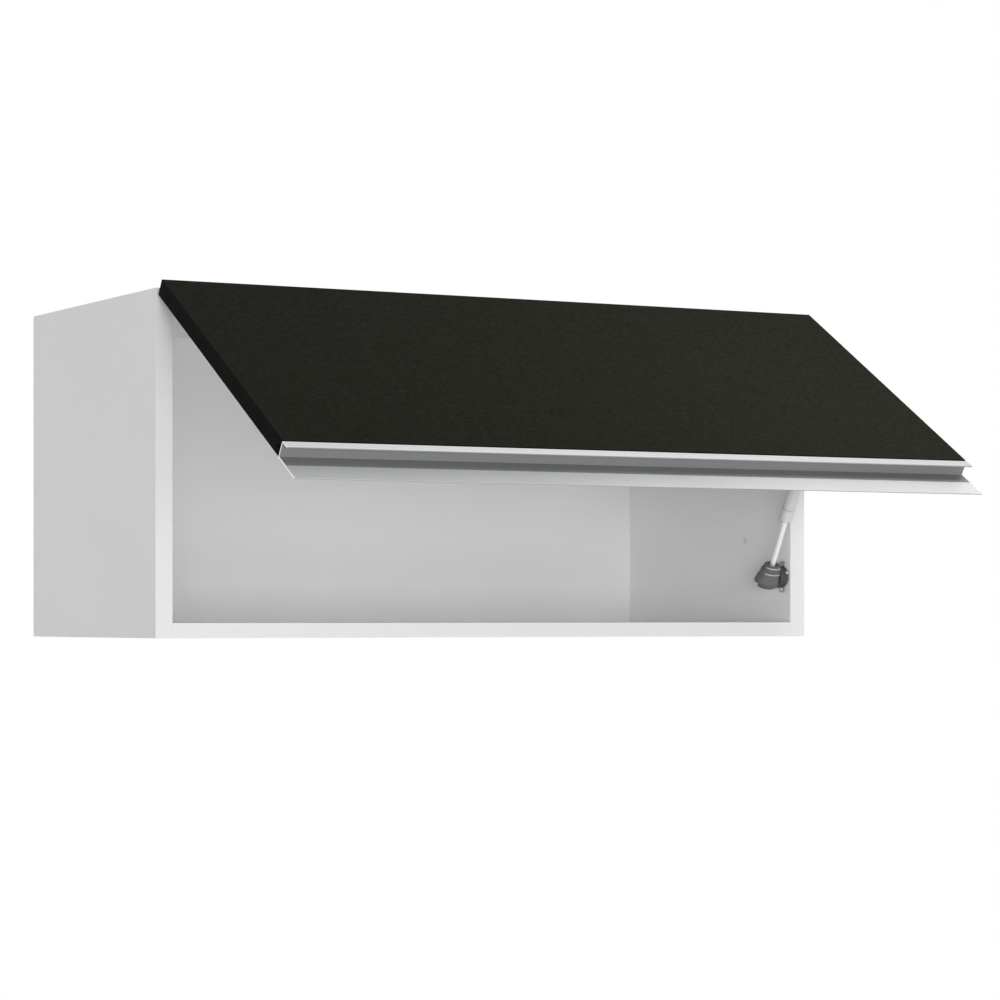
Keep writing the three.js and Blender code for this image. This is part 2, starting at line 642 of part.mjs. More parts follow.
function buildHinges(cabinet, door) {
  const toCup = CUP_PIVOT_OPEN.clone().sub(ARM_PIVOT);
  const linkTilt = Math.atan2(-toCup.x, toCup.y);
  const links = pivotGroup(cabinet, 0, ARM_PIVOT, linkTilt);
  for (const side of SIDES) {
    const x = side.sign * HINGE_X;
    piece(cabinet, `hinge_plate_${side.name}`, hingePlate(x), NICKEL);
    piece(cabinet, `hinge_arm_${side.name}`, hingeArm(x), NICKEL);
    piece(links, `hinge_link_${side.name}`, hingeLink(x), NICKEL);
    piece(door, `hinge_cup_${side.name}`, hingeCup(x), NICKEL);
  }
}

// ---------------------------------------------------------------- flap door

const GROOVE_Y = DOOR_BACK - DOOR_THICKNESS / 2;
const HEAD_SCREW_Z = [-1, 1].map((way) => HEAD_CLOSED.y + way * (HEAD_PLATE_HEIGHT / 2 - SCREW_HEAD_RADIUS - 2));
const HEAD_SCREW_X = STRUT_X - HEAD_EAR_OFFSET / 3;

function doorPanel() {
  const pocketRadius = CUP_RADIUS + FIT_GAP;
  const pocketFloor = DOOR_BACK - CUP_DEPTH - FIT_GAP;
  const pockets = SIDES.map((side) =>
    bar('y', pocketRadius, pocketFloor, DOOR_BACK + 1, side.sign * HINGE_X, CUP_CENTRE_Z, 32),
  );
  const half = TONGUE_THICKNESS / 2 + TONGUE_BARB + GROOVE_CLEARANCE;
  const depth = TONGUE_HEIGHT + GROOVE_EXTRA_DEPTH;
  const past = DOOR_HALF + 1;
  const groove = box(-past, past, GROOVE_Y - half, GROOVE_Y + half, DOOR_EDGE - 1, DOOR_EDGE + depth);
  const screwFloor = DOOR_BACK + HEAD_PLATE_THICKNESS - SCREW_LENGTH - FIT_GAP;
  const holes = HEAD_SCREW_Z.map((z) =>
    bar('y', SCREW_SHANK_RADIUS + HOLE_CLEARANCE, screwFloor, DOOR_BACK + 1, HEAD_SCREW_X, z),
  );
  const slab = box(-DOOR_HALF, DOOR_HALF, DOOR_FACE, DOOR_BACK, DOOR_EDGE, DOOR_TOP);
  return cut(slab, ...pockets, groove, ...holes);
}

// Section of the grip profile: a web under the door's edge, a short lip in front, a long flange
// behind and a barbed tongue that is pressed into the groove.
function gripProfile() {
  const web = DOOR_EDGE - FIT_GAP;
  const front = DOOR_FACE;
  const back = DOOR_BACK;
  const half = TONGUE_THICKNESS / 2;
  const barb = half + TONGUE_BARB;
  const tip = web + TONGUE_HEIGHT;
  const r = PROFILE_CORNER_RADIUS;
  const shape = new THREE.Shape();
  shape.moveTo(front, DOOR_EDGE - PROFILE_LIP);
  shape.lineTo(front + PROFILE_WALL, DOOR_EDGE - PROFILE_LIP);
  shape.lineTo(front + PROFILE_WALL, web - PROFILE_WALL);
  shape.lineTo(back - PROFILE_WALL, web - PROFILE_WALL);
  shape.lineTo(back - PROFILE_WALL, DOOR_EDGE - PROFILE_FLANGE);
  shape.lineTo(back, DOOR_EDGE - PROFILE_FLANGE);
  shape.lineTo(back, web);
  shape.lineTo(GROOVE_Y + half, web);
  for (const share of [0.35, 0.7]) {
    const z = web + TONGUE_HEIGHT * share;
    shape.lineTo(GROOVE_Y + half, z);
    shape.lineTo(GROOVE_Y + barb, z);
    shape.lineTo(GROOVE_Y + half, z + TONGUE_BARB * 2);
  }
  shape.lineTo(GROOVE_Y + half, tip);
  shape.lineTo(GROOVE_Y - half, tip);
  for (const share of [0.7, 0.35]) {
    const z = web + TONGUE_HEIGHT * share;
    shape.lineTo(GROOVE_Y - half, z + TONGUE_BARB * 2);
    shape.lineTo(GROOVE_Y - barb, z);
    shape.lineTo(GROOVE_Y - half, z);
  }
  shape.lineTo(GROOVE_Y - half, web);
  shape.lineTo(front + r, web);
  shape.absarc(front + r, web - r, r, Math.PI / 2, Math.PI, false);
  return extrudedAlongX(shape, -DOOR_HALF, DOOR_HALF);
}

function doorBuffer(side) {
  const seat = DOOR_BACK + FIT_GAP;
  const thick = DOOR_GAP - 2 * FIT_GAP;
  const pad = turned([
    [0, 0],
    [BUFFER_RADIUS, 0],
    [BUFFER_RADIUS, thick * 0.6],
    [BUFFER_RADIUS * 0.7, thick],
    [0, thick],
  ]);
  const x = side.sign * (OUTER_X - SIDE_THICKNESS / 2);
  return pad.rotateX(-Math.PI / 2).translate(x, seat, DOOR_EDGE + BUFFER_ABOVE_EDGE);
}

function buildDoor(door) {
  piece(door, 'door_panel', doorPanel(), BLACK_DOOR);
  piece(door, 'grip_profile', gripProfile(), ALUMINIUM);
  for (const side of SIDES) {
    piece(door, `door_buffer_${side.name}`, doorBuffer(side), CLEAR_RUBBER);
  }
}

// ---------------------------------------------------------------- gas strut

// A screw along +Z: the head's seat is at height 0 and the shank goes down.
function screw() {
  return turned(
    [
      [0, -SCREW_LENGTH],
      [SCREW_SHANK_RADIUS * 0.3, -SCREW_LENGTH],
      [SCREW_SHANK_RADIUS, -SCREW_LENGTH + 3],
      [SCREW_SHANK_RADIUS, 0],
      [SCREW_HEAD_RADIUS, 0],
      [SCREW_HEAD_RADIUS, SCREW_HEAD_HEIGHT * 0.5],
      [SCREW_HEAD_RADIUS * 0.6, SCREW_HEAD_HEIGHT],
      [0, SCREW_HEAD_HEIGHT],
    ],
    SMALL_ROUND_STEPS,
  );
}

// Wall bracket: a plate on the right side with a boss, and the ball stud pressed into the boss.
function buildStrutFoot(cabinet) {
  const wall = INNER_X;
  const face = wall - FOOT_PLATE_THICKNESS;
  const wide = FOOT_PLATE_WIDTH / 2;
  const tall = FOOT_PLATE_HEIGHT / 2;
  const plate = box(face, wall, FOOT.x - wide, FOOT.x + wide, FOOT.y - tall, FOOT.y + tall);
  const pinHole = bar('x', BALL_PIN_RADIUS + HOLE_CLEARANCE, face - 1, wall + 1, FOOT.x, FOOT.y);
  const holes = FOOT_SCREW_Z.map((z) =>
    bar('x', SCREW_SHANK_RADIUS + HOLE_CLEARANCE, face - 1, wall + 1, FOOT.x, z),
  );
  piece(cabinet, 'strut_wall_bracket', cut(plate, pinHole, ...holes), DARK_PLASTIC);

  const ball = new THREE.SphereGeometry(BALL_RADIUS, SMALL_ROUND_STEPS, 12);
  ball.translate(STRUT_X, FOOT.x, FOOT.y);
  const pin = bar('x', BALL_PIN_RADIUS, STRUT_X, wall - FIT_GAP, FOOT.x, FOOT.y);
  piece(cabinet, 'strut_wall_ball_stud', join(ball, pin), ZINC);

  FOOT_SCREW_Z.forEach((z, i) => {
    const fastener = screw().rotateY(-Math.PI / 2).translate(face, FOOT.x, z);
    piece(cabinet, `strut_wall_screw_${i === 0 ? 'lower' : 'upper'}`, fastener, ZINC);
  });
}

// Door bracket, drawn in the closed door: a plate on the door's back, an upright ear and a stud.
function buildStrutHeadBracket(door) {
  const seat = DOOR_BACK + FIT_GAP;
  const face = DOOR_BACK + HEAD_PLATE_THICKNESS;
  const { x: hy, y: hz } = HEAD_CLOSED;
  const earX = STRUT_X + HEAD_EAR_OFFSET;
  const tall = HEAD_PLATE_HEIGHT / 2;
  const far = earX + HEAD_PLATE_THICKNESS;
  const plate = box(far - HEAD_PLATE_WIDTH, far, seat, face, hz - tall, hz + tall);
  const holes = HEAD_SCREW_Z.map((z) =>
    bar('y', SCREW_SHANK_RADIUS + HOLE_CLEARANCE, seat - 1, face + 1, HEAD_SCREW_X, z),
  );
  const ear = new THREE.Shape();
  ear.moveTo(seat, hz - tall);
  ear.absarc(hy, hz, HEAD_EYE_RADIUS, -Math.PI / 3, Math.PI / 3, false);
  ear.lineTo(seat, hz + tall);
  const stud = bar('x', HEAD_STUD_RADIUS, STRUT_X + HEAD_EYE_WIDTH / 2 + FIT_GAP, earX + 1, hy, hz);
  const bracket = join(cut(plate, ...holes), extrudedAlongX(ear, earX, far), stud);
  piece(door, 'strut_door_bracket', bracket, ZINC);

  HEAD_SCREW_Z.forEach((z, i) => {
    const fastener = screw().rotateX(-Math.PI / 2).translate(HEAD_SCREW_X, face, z);
    piece(door, `strut_door_screw_${i === 0 ? 'lower' : 'upper'}`, fastener, ZINC);
  });
}

// The foot's plastic hood: oval sections that narrow towards the rod, with a blind bore for the ball.
function footHood() {
  const sections = [
    { z: -FOOT_HOOD_BELOW, share: 0.55 },
    { z: -FOOT_HOOD_BELOW + 1.5, share: 0.78 },
    { z: -FOOT_HOOD_BELOW + 4.5, share: 0.95 },
    { z: -FOOT_HOOD_BELOW + 8, share: 1 },
    { z: 0, share: 0.98 },
  ];
  const rings = sections.map(({ z, share }) => ({
    z,
    wide: (FOOT_HOOD_WIDTH / 2) * share,
    deep: (FOOT_HOOD_DEPTH / 2) * share,
  }));
  const collar = FOOT_HOOD_ABOVE * 0.7;
  rings.push({ z: collar, wide: FOOT_HOOD_TOP_WIDTH * 0.62, deep: FOOT_HOOD_TOP_DEPTH * 0.6 });
  rings.push({ z: collar + 0.6, wide: FOOT_HOOD_TOP_WIDTH * 0.55, deep: FOOT_HOOD_TOP_DEPTH * 0.54 });
  rings.push({ z: FOOT_HOOD_ABOVE - 1, wide: FOOT_HOOD_TOP_WIDTH / 2, deep: FOOT_HOOD_TOP_DEPTH / 2 });
  rings.push({ z: FOOT_HOOD_ABOVE, wide: FOOT_HOOD_TOP_WIDTH * 0.42, deep: FOOT_HOOD_TOP_DEPTH * 0.42 });
  const positions = [];
  const index = [];
  for (const ring of rings) {
    for (let i = 0; i < HOOD_STEPS; i += 1) {
      const angle = (2 * Math.PI * i) / HOOD_STEPS;
      positions.push(ring.wide * Math.cos(angle), ring.deep * Math.sin(angle), ring.z);
    }
  }
  rings.slice(1).forEach((_, level) => {
    for (let i = 0; i < HOOD_STEPS; i += 1) {
      const a = level * HOOD_STEPS + i;
      const b = level * HOOD_STEPS + ((i + 1) % HOOD_STEPS);
      index.push(a, b, b + HOOD_STEPS, a, b + HOOD_STEPS, a + HOOD_STEPS);
    }
  });
  const lowCentre = positions.length / 3;
  positions.push(0, 0, rings[0].z, 0, 0, rings[rings.length - 1].z);
  const lastRing = (rings.length - 1) * HOOD_STEPS;
  for (let i = 0; i < HOOD_STEPS; i += 1) {
    const next = (i + 1) % HOOD_STEPS;
    index.push(lowCentre, next, i, lowCentre + 1, lastRing + i, lastRing + next);
  }
  const geometry = new THREE.BufferGeometry();
  geometry.setAttribute('position', new THREE.Float32BufferAttribute(positions, 3));
  geometry.setIndex(index);
  return geometry;
}

function buildStrut(cabinet) {
  const lean = HEAD_OPEN.clone().sub(FOOT);
  const strut = pivotGroup(cabinet, STRUT_X, FOOT, Math.atan2(-lean.x, lean.y));
  const hoodSide = STRUT_FROM_SIDE - FOOT_PLATE_THICKNESS; // bracket plate face from the strut plane

  const guideStart = FOOT_HOOD_ABOVE + STROKE_RESERVE + STRUT_STROKE;
  const tubeStart = guideStart + GUIDE_LENGTH;
  const neckStart = STRUT_OPEN_LENGTH - HEAD_EYE_RADIUS - HEAD_NECK_LENGTH;
  const tubeEnd = neckStart - FIT_GAP;
  const bore = TUBE_RADIUS - TUBE_WALL;
  const rodStart = BALL_RADIUS + BALL_CLEARANCE + 1;
  const rodEnd = tubeEnd - TUBE_WALL - STRUT_STROKE - 1 - PISTON_LENGTH;

  const ballBore = bar('x', BALL_RADIUS + BALL_CLEARANCE, -BALL_RADIUS - 1, hoodSide + 1, 0, 0, ROUND_STEPS);
  const rodSeat = bar('z', ROD_RADIUS + FIT_GAP, rodStart - FIT_GAP, FOOT_HOOD_ABOVE + 1, 0, 0);
  const past = FOOT_HOOD_WIDTH;
  const trim = box(hoodSide - FIT_GAP, hoodSide + past, -past, past, -past, past);
  piece(strut, 'strut_foot_socket', cut(footHood(), ballBore, rodSeat, trim), DARK_PLASTIC);

  const rod = bar('z', ROD_RADIUS, rodStart, rodEnd, 0, 0, ROUND_STEPS);
  piece(strut, 'strut_rod', rod, BRIGHT_ROD);
  const pistonBase = rodEnd + FIT_GAP;
  const piston = bar('z', bore - FIT_GAP, pistonBase, pistonBase + PISTON_LENGTH, 0, 0, ROUND_STEPS);
  piece(strut, 'strut_piston', piston, ZINC);

  const guideBore = ROD_RADIUS + ROD_RUNNING_GAP;
  const guide = turned([
    [guideBore, guideStart],
    [TUBE_RADIUS - GUIDE_ROUNDING, guideStart],
    [TUBE_RADIUS - GUIDE_ROUNDING * 0.3, guideStart + GUIDE_ROUNDING * 0.4],
    [TUBE_RADIUS, guideStart + GUIDE_ROUNDING],
    [TUBE_RADIUS, tubeStart - FIT_GAP],
    [bore - FIT_GAP, tubeStart - FIT_GAP],
    [bore - FIT_GAP, tubeStart + GUIDE_SPIGOT],
    [guideBore, tubeStart + GUIDE_SPIGOT],
    [guideBore, guideStart],
  ]);
  piece(strut, 'strut_rod_guide', guide, WHITE_STEEL);
  const tube = turned([
    [bore, tubeStart],
    [TUBE_RADIUS, tubeStart],
    [TUBE_RADIUS, tubeEnd - TUBE_WALL],
    [TUBE_RADIUS - TUBE_WALL, tubeEnd],
    [0, tubeEnd],
    [0, tubeEnd - TUBE_WALL],
    [bore, tubeEnd - TUBE_WALL],
    [bore, tubeStart],
  ]);
  piece(strut, 'strut_tube', tube, WHITE_STEEL);

  const halfEye = HEAD_EYE_WIDTH / 2;
  const eye = bar('x', HEAD_EYE_RADIUS, -halfEye, halfEye, 0, STRUT_OPEN_LENGTH, ROUND_STEPS);
  const neck = turned([
    [0, neckStart],
    [HEAD_NECK_RADIUS, neckStart],
    [TUBE_NECK_RADIUS, neckStart + HEAD_NECK_LENGTH * 0.6],
    [TUBE_NECK_RADIUS, STRUT_OPEN_LENGTH],
    [0, STRUT_OPEN_LENGTH],
  ]);
  piece(strut, 'strut_head_socket', join(eye, neck), DARK_PLASTIC);
}

// ---------------------------------------------------------------- assembly

const cabinet = new THREE.Group();
buildCarcass(cabinet);
buildHangers(cabinet);

// The door's pieces are drawn closed, in the cabinet's own frame, and turned open about the axis.
const doorTurn = pivotGroup(cabinet, 0, AXIS, -OPEN_ANGLE);
const door = new THREE.Group();
door.position.set(0, -AXIS.x, -AXIS.y);
doorTurn.add(door);
buildDoor(door);
buildHinges(cabinet, door);
buildStrutFoot(cabinet);
buildStrutHeadBracket(door);
buildStrut(cabinet);

export default cabinet;
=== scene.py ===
"""The looks of the lift-up wall cabinet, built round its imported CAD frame. Units are metres.

X runs across the cabinet, +Y goes to the wall and +Z is up. The door stands open. Pieces of the door
are drawn in the closed door and then turned open about the hinge axis, as the real door is.
"""

import json
import math

import bmesh
import bpy
from mathutils import Matrix, Vector
from mathutils.geometry import tessellate_polygon


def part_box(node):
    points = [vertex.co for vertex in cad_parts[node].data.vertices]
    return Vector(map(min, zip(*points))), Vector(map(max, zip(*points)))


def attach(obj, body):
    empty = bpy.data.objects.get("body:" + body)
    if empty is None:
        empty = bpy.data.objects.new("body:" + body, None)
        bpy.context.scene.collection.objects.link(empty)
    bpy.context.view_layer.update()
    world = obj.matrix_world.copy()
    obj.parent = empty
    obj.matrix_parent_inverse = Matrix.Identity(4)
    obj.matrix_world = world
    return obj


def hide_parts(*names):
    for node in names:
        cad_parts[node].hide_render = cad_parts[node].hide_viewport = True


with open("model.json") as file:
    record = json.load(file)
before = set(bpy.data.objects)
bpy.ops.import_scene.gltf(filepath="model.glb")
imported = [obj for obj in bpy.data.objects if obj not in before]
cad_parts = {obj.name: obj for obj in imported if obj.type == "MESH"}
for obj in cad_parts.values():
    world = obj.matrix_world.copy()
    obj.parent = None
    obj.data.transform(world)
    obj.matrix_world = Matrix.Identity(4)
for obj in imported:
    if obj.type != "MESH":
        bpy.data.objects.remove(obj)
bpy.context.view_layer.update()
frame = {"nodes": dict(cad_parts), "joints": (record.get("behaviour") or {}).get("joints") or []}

MM = 0.001

# ---- sizes and places

JOINTS = {joint["name"]: joint for joint in frame["joints"]}
OPEN_ANGLE = math.radians(-JOINTS["door_lift"]["range_deg"][0])
DOOR_AXIS = Vector(JOINTS["door_lift"]["pos_m"])
STRUT_FOOT = Vector(JOINTS["strut_lean"]["pos_m"])
STRUT_WAY = Vector(JOINTS["strut_stroke"]["axis"])

SIDE_LOW, SIDE_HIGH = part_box("side_panel_right")
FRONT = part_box("edge_band_left")[0].y
INNER_X = SIDE_LOW.x
OUTER_X = SIDE_HIGH.x
TOP = SIDE_HIGH.z
BOTTOM = SIDE_LOW.z
TOP_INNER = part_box("top_panel")[0].z
BACK_LOW, BACK_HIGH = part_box("back_panel")

FIT_GAP = 0.3 * MM
DOOR_GAP = 2 * MM
DOOR_THICKNESS = 18 * MM
DOOR_HEIGHT = 345 * MM
DOOR_TOP_REVEAL = 2 * MM
DOOR_BACK = FRONT - DOOR_GAP
DOOR_FACE = DOOR_BACK - DOOR_THICKNESS
DOOR_TOP = TOP - DOOR_TOP_REVEAL
DOOR_EDGE = DOOR_TOP - DOOR_HEIGHT
DOOR_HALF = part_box("door_panel")[1].x

DOOR_OPENED = (
    Matrix.Translation(DOOR_AXIS)
    @ Matrix.Rotation(-OPEN_ANGLE, 4, "X")
    @ Matrix.Translation(-DOOR_AXIS)
)
STRUT_LEAN = math.atan2(-STRUT_WAY.y, STRUT_WAY.z)
STRUT_FRAME = Matrix.Translation(STRUT_FOOT) @ Matrix.Rotation(STRUT_LEAN, 4, "X")

SIDES = (("left", -1), ("right", 1))

# ---- material helpers


def shader_node(nodes, kind, **inputs):
    """A new node of that kind with its input values set. Their names have _ for a space."""
    made = nodes.new(f"ShaderNode{kind}")
    for socket, value in inputs.items():
        made.inputs[socket.replace("_", " ")].default_value = value
    return made


class Finish:
    """A procedural material: its shader, and short ways to add textures that drive it."""

    def __init__(self, name, roughness, metallic=0.0, specular=0.5, **shader):
        self.material = bpy.data.materials.new(name)
        self.material.use_nodes = True
        tree = self.material.node_tree
        self.nodes, self.links = tree.nodes, tree.links
        self.shader = self.nodes["Principled BSDF"]
        values = {"Roughness": roughness, "Metallic": metallic, "Specular IOR Level": specular, **shader}
        for socket, value in values.items():
            self.shader.inputs[socket.replace("_", " ")].default_value = value
        self.place = self.nodes.new("ShaderNodeTexCoord").outputs["Object"]
        self.height = None

    def texture(self, kind, output, stretch, **inputs):
        """A texture over the object's own coordinates in metres, stretched along X, Y and Z."""
        mapping = shader_node(self.nodes, "Mapping", Scale=stretch)
        self.links.new(self.place, mapping.inputs["Vector"])
        made = shader_node(self.nodes, kind, **inputs)
        self.links.new(mapping.outputs["Vector"], made.inputs["Vector"])
        return made.outputs[output]

    def noise(self, scale, detail=3.0, stretch=(1, 1, 1), distortion=0.0):
        """Noise with about scale features in a metre."""
        return self.texture("TexNoise", "Fac", stretch, Scale=scale, Detail=detail, Distortion=distortion)

    def colour(self, factor, stops):
        """A base colour that runs along factor through (position, colour) pairs."""
        ramp = self.nodes.new("ShaderNodeValToRGB")
        elements = ramp.color_ramp.elements
        while len(elements) < len(stops):
            elements.new(1.0)
        for element, (position, colour) in zip(elements, stops):
            element.position = position
            element.color = (*colour, 1)
        self.links.new(factor, ramp.inputs["Fac"])
        self.links.new(ramp.outputs["Color"], self.shader.inputs["Base Color"])

    def rough(self, factor, low, high):
        """A roughness that follows factor's middle range, from low to high."""
        remap = shader_node(self.nodes, "MapRange", From_Min=0.3, From_Max=0.7, To_Min=low, To_Max=high)
        self.links.new(factor, remap.inputs["Value"])
        self.links.new(remap.outputs["Result"], self.shader.inputs["Roughness"])

    def bump(self, factor, depth, strength=1.0):
        """Relief of about depth metres, laid over any relief already there."""
        bump = shader_node(self.nodes, "Bump", Strength=strength, Distance=depth)
        self.links.new(factor, bump.inputs["Height"])
        if self.height is not None:
            self.links.new(self.height, bump.inputs["Normal"])
        self.height = bump.outputs["Normal"]
        self.links.new(self.height, self.shader.inputs["Normal"])


def shade(colour, factor):
    return tuple(channel * factor for channel in colour)


def mottled(finish, colour, amount, scale, **noise):
    """A base colour that varies by a small amount either way."""
    stops = [(0.3, shade(colour, 1 - amount)), (0.7, shade(colour, 1 + amount))]
    finish.colour(finish.noise(scale, **noise), stops)


# ---- materials


def plain(name, colour, roughness, patches, gloss=None, stretch=(1, 1, 1), reliefs=(), **shader):
    """A finish of one colour, with faint patches, an uneven gloss and fine reliefs.

    patches is (amount, scale, detail), gloss is (scale, detail, low, high) with its noise stretched,
    and each relief is (scale, detail, depth in millimetres, strength).
    """
    finish = Finish(name, roughness, **shader)
    amount, scale, detail = patches
    mottled(finish, colour, amount, scale, detail=detail)
    if gloss:
        scale, detail, low, high = gloss
        finish.rough(finish.noise(scale, detail, stretch), low, high)
    for scale, detail, depth, strength in reliefs:
        finish.bump(finish.noise(scale, detail), depth * MM, strength)
    return finish.material


def moulded_plastic(name, tone):
    return plain(
        name, shade((0.99, 1.0, 1.01), tone), 0.42, patches=(0.015, 40, 3), gloss=(350, 3, 0.36, 0.5),
        reliefs=((1100, 2, 0.03, 0.4),), specular=0.45,
    )


def hardboard():
    finish = Finish("hardboard_rear", 0.75, specular=0.2)
    fibre = finish.noise(420, detail=6, stretch=(1, 1, 0.35), distortion=0.6)
    finish.colour(fibre, [(0.3, (0.20, 0.135, 0.08)), (0.7, (0.30, 0.21, 0.13))])
    finish.rough(fibre, 0.68, 0.85)
    finish.bump(fibre, 0.08 * MM, 0.6)
    return finish.material


def chipboard():
    finish = Finish("chipboard_core", 0.8, specular=0.2)
    chips = finish.texture("TexVoronoi", "Color", (1, 0.6, 1), Scale=520)
    finish.colour(chips, [(0.1, (0.30, 0.21, 0.12)), (0.5, (0.46, 0.34, 0.2)), (0.9, (0.58, 0.45, 0.29))])
    finish.bump(chips, 0.12 * MM, 0.7)
    return finish.material


def aluminium(name, dark, light, roughness, metallic=1.0):
    """Drawn aluminium, with fine lines along X and a cloudy tone from dark to light."""
    finish = Finish(name, roughness, metallic=metallic)
    drawn = finish.noise(900, detail=2, stretch=(0.002, 1, 1))
    cloud = finish.noise(7, detail=2)
    tones = [shade((0.98, 0.99, 1.0), tone) for tone in (dark, light)]
    finish.colour(cloud, [(0.3, tones[0]), (0.7, tones[1])])
    finish.rough(drawn, roughness - 0.06, roughness + 0.06)
    finish.bump(drawn, 0.02 * MM, 0.3)
    return finish.material


def zinc():
    finish = Finish("zinc_plate", 0.38, metallic=1.0)
    cloud = finish.noise(120, detail=2, distortion=0.2)
    finish.colour(cloud, [(0.3, (0.52, 0.54, 0.56)), (0.7, (0.58, 0.59, 0.60))])
    finish.rough(cloud, 0.34, 0.42)
    finish.bump(finish.noise(900, detail=1), 0.003 * MM, 0.3)
    return finish.material


def beech():
    finish = Finish("beech", 0.65, specular=0.3)
    grain = finish.noise(700, detail=5, stretch=(0.05, 1, 1))
    finish.colour(grain, [(0.3, (0.47, 0.30, 0.15)), (0.7, (0.60, 0.42, 0.24))])
    finish.bump(grain, 0.06 * MM, 0.5)
    return finish.material


def ground_steel():
    finish = Finish("ground_steel", 0.18, metallic=0.35)
    rings = finish.noise(4000, detail=2, stretch=(0.2, 0.2, 1))
    mottled(finish, (0.88, 0.885, 0.89), 0.02, 120)
    finish.rough(rings, 0.12, 0.24)
    finish.bump(rings, 0.005 * MM, 0.12)
    return finish.material


MELAMINE = plain(
    "white_melamine", (0.90, 0.90, 0.905), 0.45, patches=(0.012, 9, 3), gloss=(160, 3, 0.4, 0.52),
    reliefs=((1400, 2, 0.03, 0.35), (35, 1, 0.25, 0.12)), specular=0.35,
)
EDGE_PLASTIC = plain(
    "white_edge_band", (0.745, 0.745, 0.75), 0.4, patches=(0.01, 30, 3), gloss=(300, 3, 0.34, 0.46),
    stretch=(1, 1, 0.1), reliefs=((900, 2, 0.02, 0.3),), specular=0.4,
)
BACK_BOARD = plain(
    "white_back_board", (0.885, 0.885, 0.89), 0.55, patches=(0.012, 6, 3), gloss=(90, 3, 0.48, 0.62),
    reliefs=((900, 3, 0.03, 0.4),), specular=0.3,
)
BLACK_LAMINATE = plain(
    "matt_black_laminate", (0.0068, 0.0074, 0.0036), 0.7, patches=(0.05, 40, 4),
    gloss=(220, 3, 0.62, 0.78), reliefs=((1800, 2, 0.03, 0.35),), specular=0.04,
)
BLACK_EDGE_BAND = plain(
    "black_edge_band", (0.0090, 0.0090, 0.0088), 0.75, patches=(0.06, 60, 3), gloss=(300, 3, 0.7, 0.8),
    stretch=(1, 0.1, 0.1), reliefs=((900, 2, 0.02, 0.3),), specular=0.01,
)
NICKEL = plain(
    "nickel_plate", (0.66, 0.65, 0.63), 0.25, patches=(0.015, 25, 3), gloss=(120, 1, 0.26, 0.32),
    reliefs=((350, 1, 0.002, 0.25),), metallic=1.0,
)
CLEAR_RUBBER = plain(
    "clear_rubber", (0.80, 0.80, 0.79), 0.25, patches=(0.02, 200, 3), reliefs=((600, 1, 0.03, 0.3),),
    IOR=1.42, Transmission_Weight=0.55,
)
HOLE_PLUG = plain(
    "grey_plug", (0.77, 0.77, 0.775), 0.5, patches=(0.02, 300, 3), reliefs=((1500, 1, 0.02, 0.3),),
    specular=0.4,
)
DARK_PLASTIC = plain(
    "dark_plastic", (0.112, 0.114, 0.118), 0.38, patches=(0.06, 250, 3), gloss=(700, 3, 0.32, 0.48),
    reliefs=((1900, 2, 0.03, 0.45),), specular=0.5,
)
WHITE_PAINT = plain(
    "white_paint", (0.64, 0.64, 0.645), 0.32, patches=(0.01, 80, 3), reliefs=((450, 1, 0.03, 0.12),),
    specular=0.5, Coat_Weight=0.3, Coat_Roughness=0.15,
)
PALE_PLASTIC = moulded_plastic("pale_plastic", 0.725)
GREY_PLASTIC = moulded_plastic("grey_plastic", 0.4)
# Near black: painted shade for the hub, which stands in shadow by the wall.
HUB_PAINTED_SHADE = moulded_plastic("black_plastic", 0.045)
ANODISED = aluminium("anodised_aluminium", 0.49, 0.51, 0.3)
# A dark tone for the inside of the grip channel: painted shade, standing in for the lip's shadow on the
# flange and the shade under the web.
CHANNEL_PAINTED_SHADE = aluminium("channel_aluminium", 0.225, 0.245, 0.5, metallic=0.2)
BRUSHED_ALUMINIUM = aluminium("brushed_aluminium", 0.49, 0.52, 0.45, metallic=0.1)
CUT_ALUMINIUM = aluminium("cut_aluminium", 0.9, 0.95, 0.35, metallic=0.6)
HARDBOARD = hardboard()
CHIPBOARD = chipboard()
ZINC = zinc()
BEECH = beech()
GROUND_STEEL = ground_steel()

# ---- mesh helpers


def finished(name, bm, materials, body, slot, replaces=()):
    """Makes a piece of a bmesh, with smooth shading that keeps its flat faces flat."""
    bmesh.ops.recalc_face_normals(bm, faces=bm.faces)
    mesh = bpy.data.meshes.new(name)
    bm.to_mesh(mesh)
    bm.free()
    for material in materials:
        mesh.materials.append(material)
    for polygon in mesh.polygons:
        polygon.use_smooth = True
    piece = bpy.data.objects.new(name, mesh)
    bpy.context.scene.collection.objects.link(piece)
    normals = piece.modifiers.new("flat_faces", "WEIGHTED_NORMAL")
    normals.weight = 100
    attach(piece, body)
    if replaces:
        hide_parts(*replaces)
    return piece


def arc(centre, radius, start, end, steps):
    """Points of a round stretch, with angles in degrees."""
    points = []
    for step in range(steps + 1):
        angle = math.radians(start + (end - start) * step / steps)
        points.append((centre[0] + radius * math.cos(angle), centre[1] + radius * math.sin(angle)))
    return points


def circle(centre, radius, steps=48):
    return arc(centre, radius, 0, 360 * (1 - 1 / steps), steps - 1)


def filleted(corners, steps=6):
    """An outline whose (a, b, radius) corners are rounded."""
    points = []
    count = len(corners)
    for i, (a, b, radius) in enumerate(corners):
        here = Vector((a, b))
        before = (Vector(corners[i - 1][:2]) - here).normalized()
        after = (Vector(corners[(i + 1) % count][:2]) - here).normalized()
        if radius <= 0:
            points.append(tuple(here))
            continue
        half = before.angle(after) / 2
        middle = here + (before + after).normalized() * (radius / math.sin(half))
        start = here + before * (radius / math.tan(half)) - middle
        end = here + after * (radius / math.tan(half)) - middle
        turn = start.angle_signed(end)
        for step in range(steps + 1):
            spoke = start.copy()
            spoke.rotate(Matrix.Rotation(-turn * step / steps, 2))
            points.append(tuple(middle + spoke))
    return points


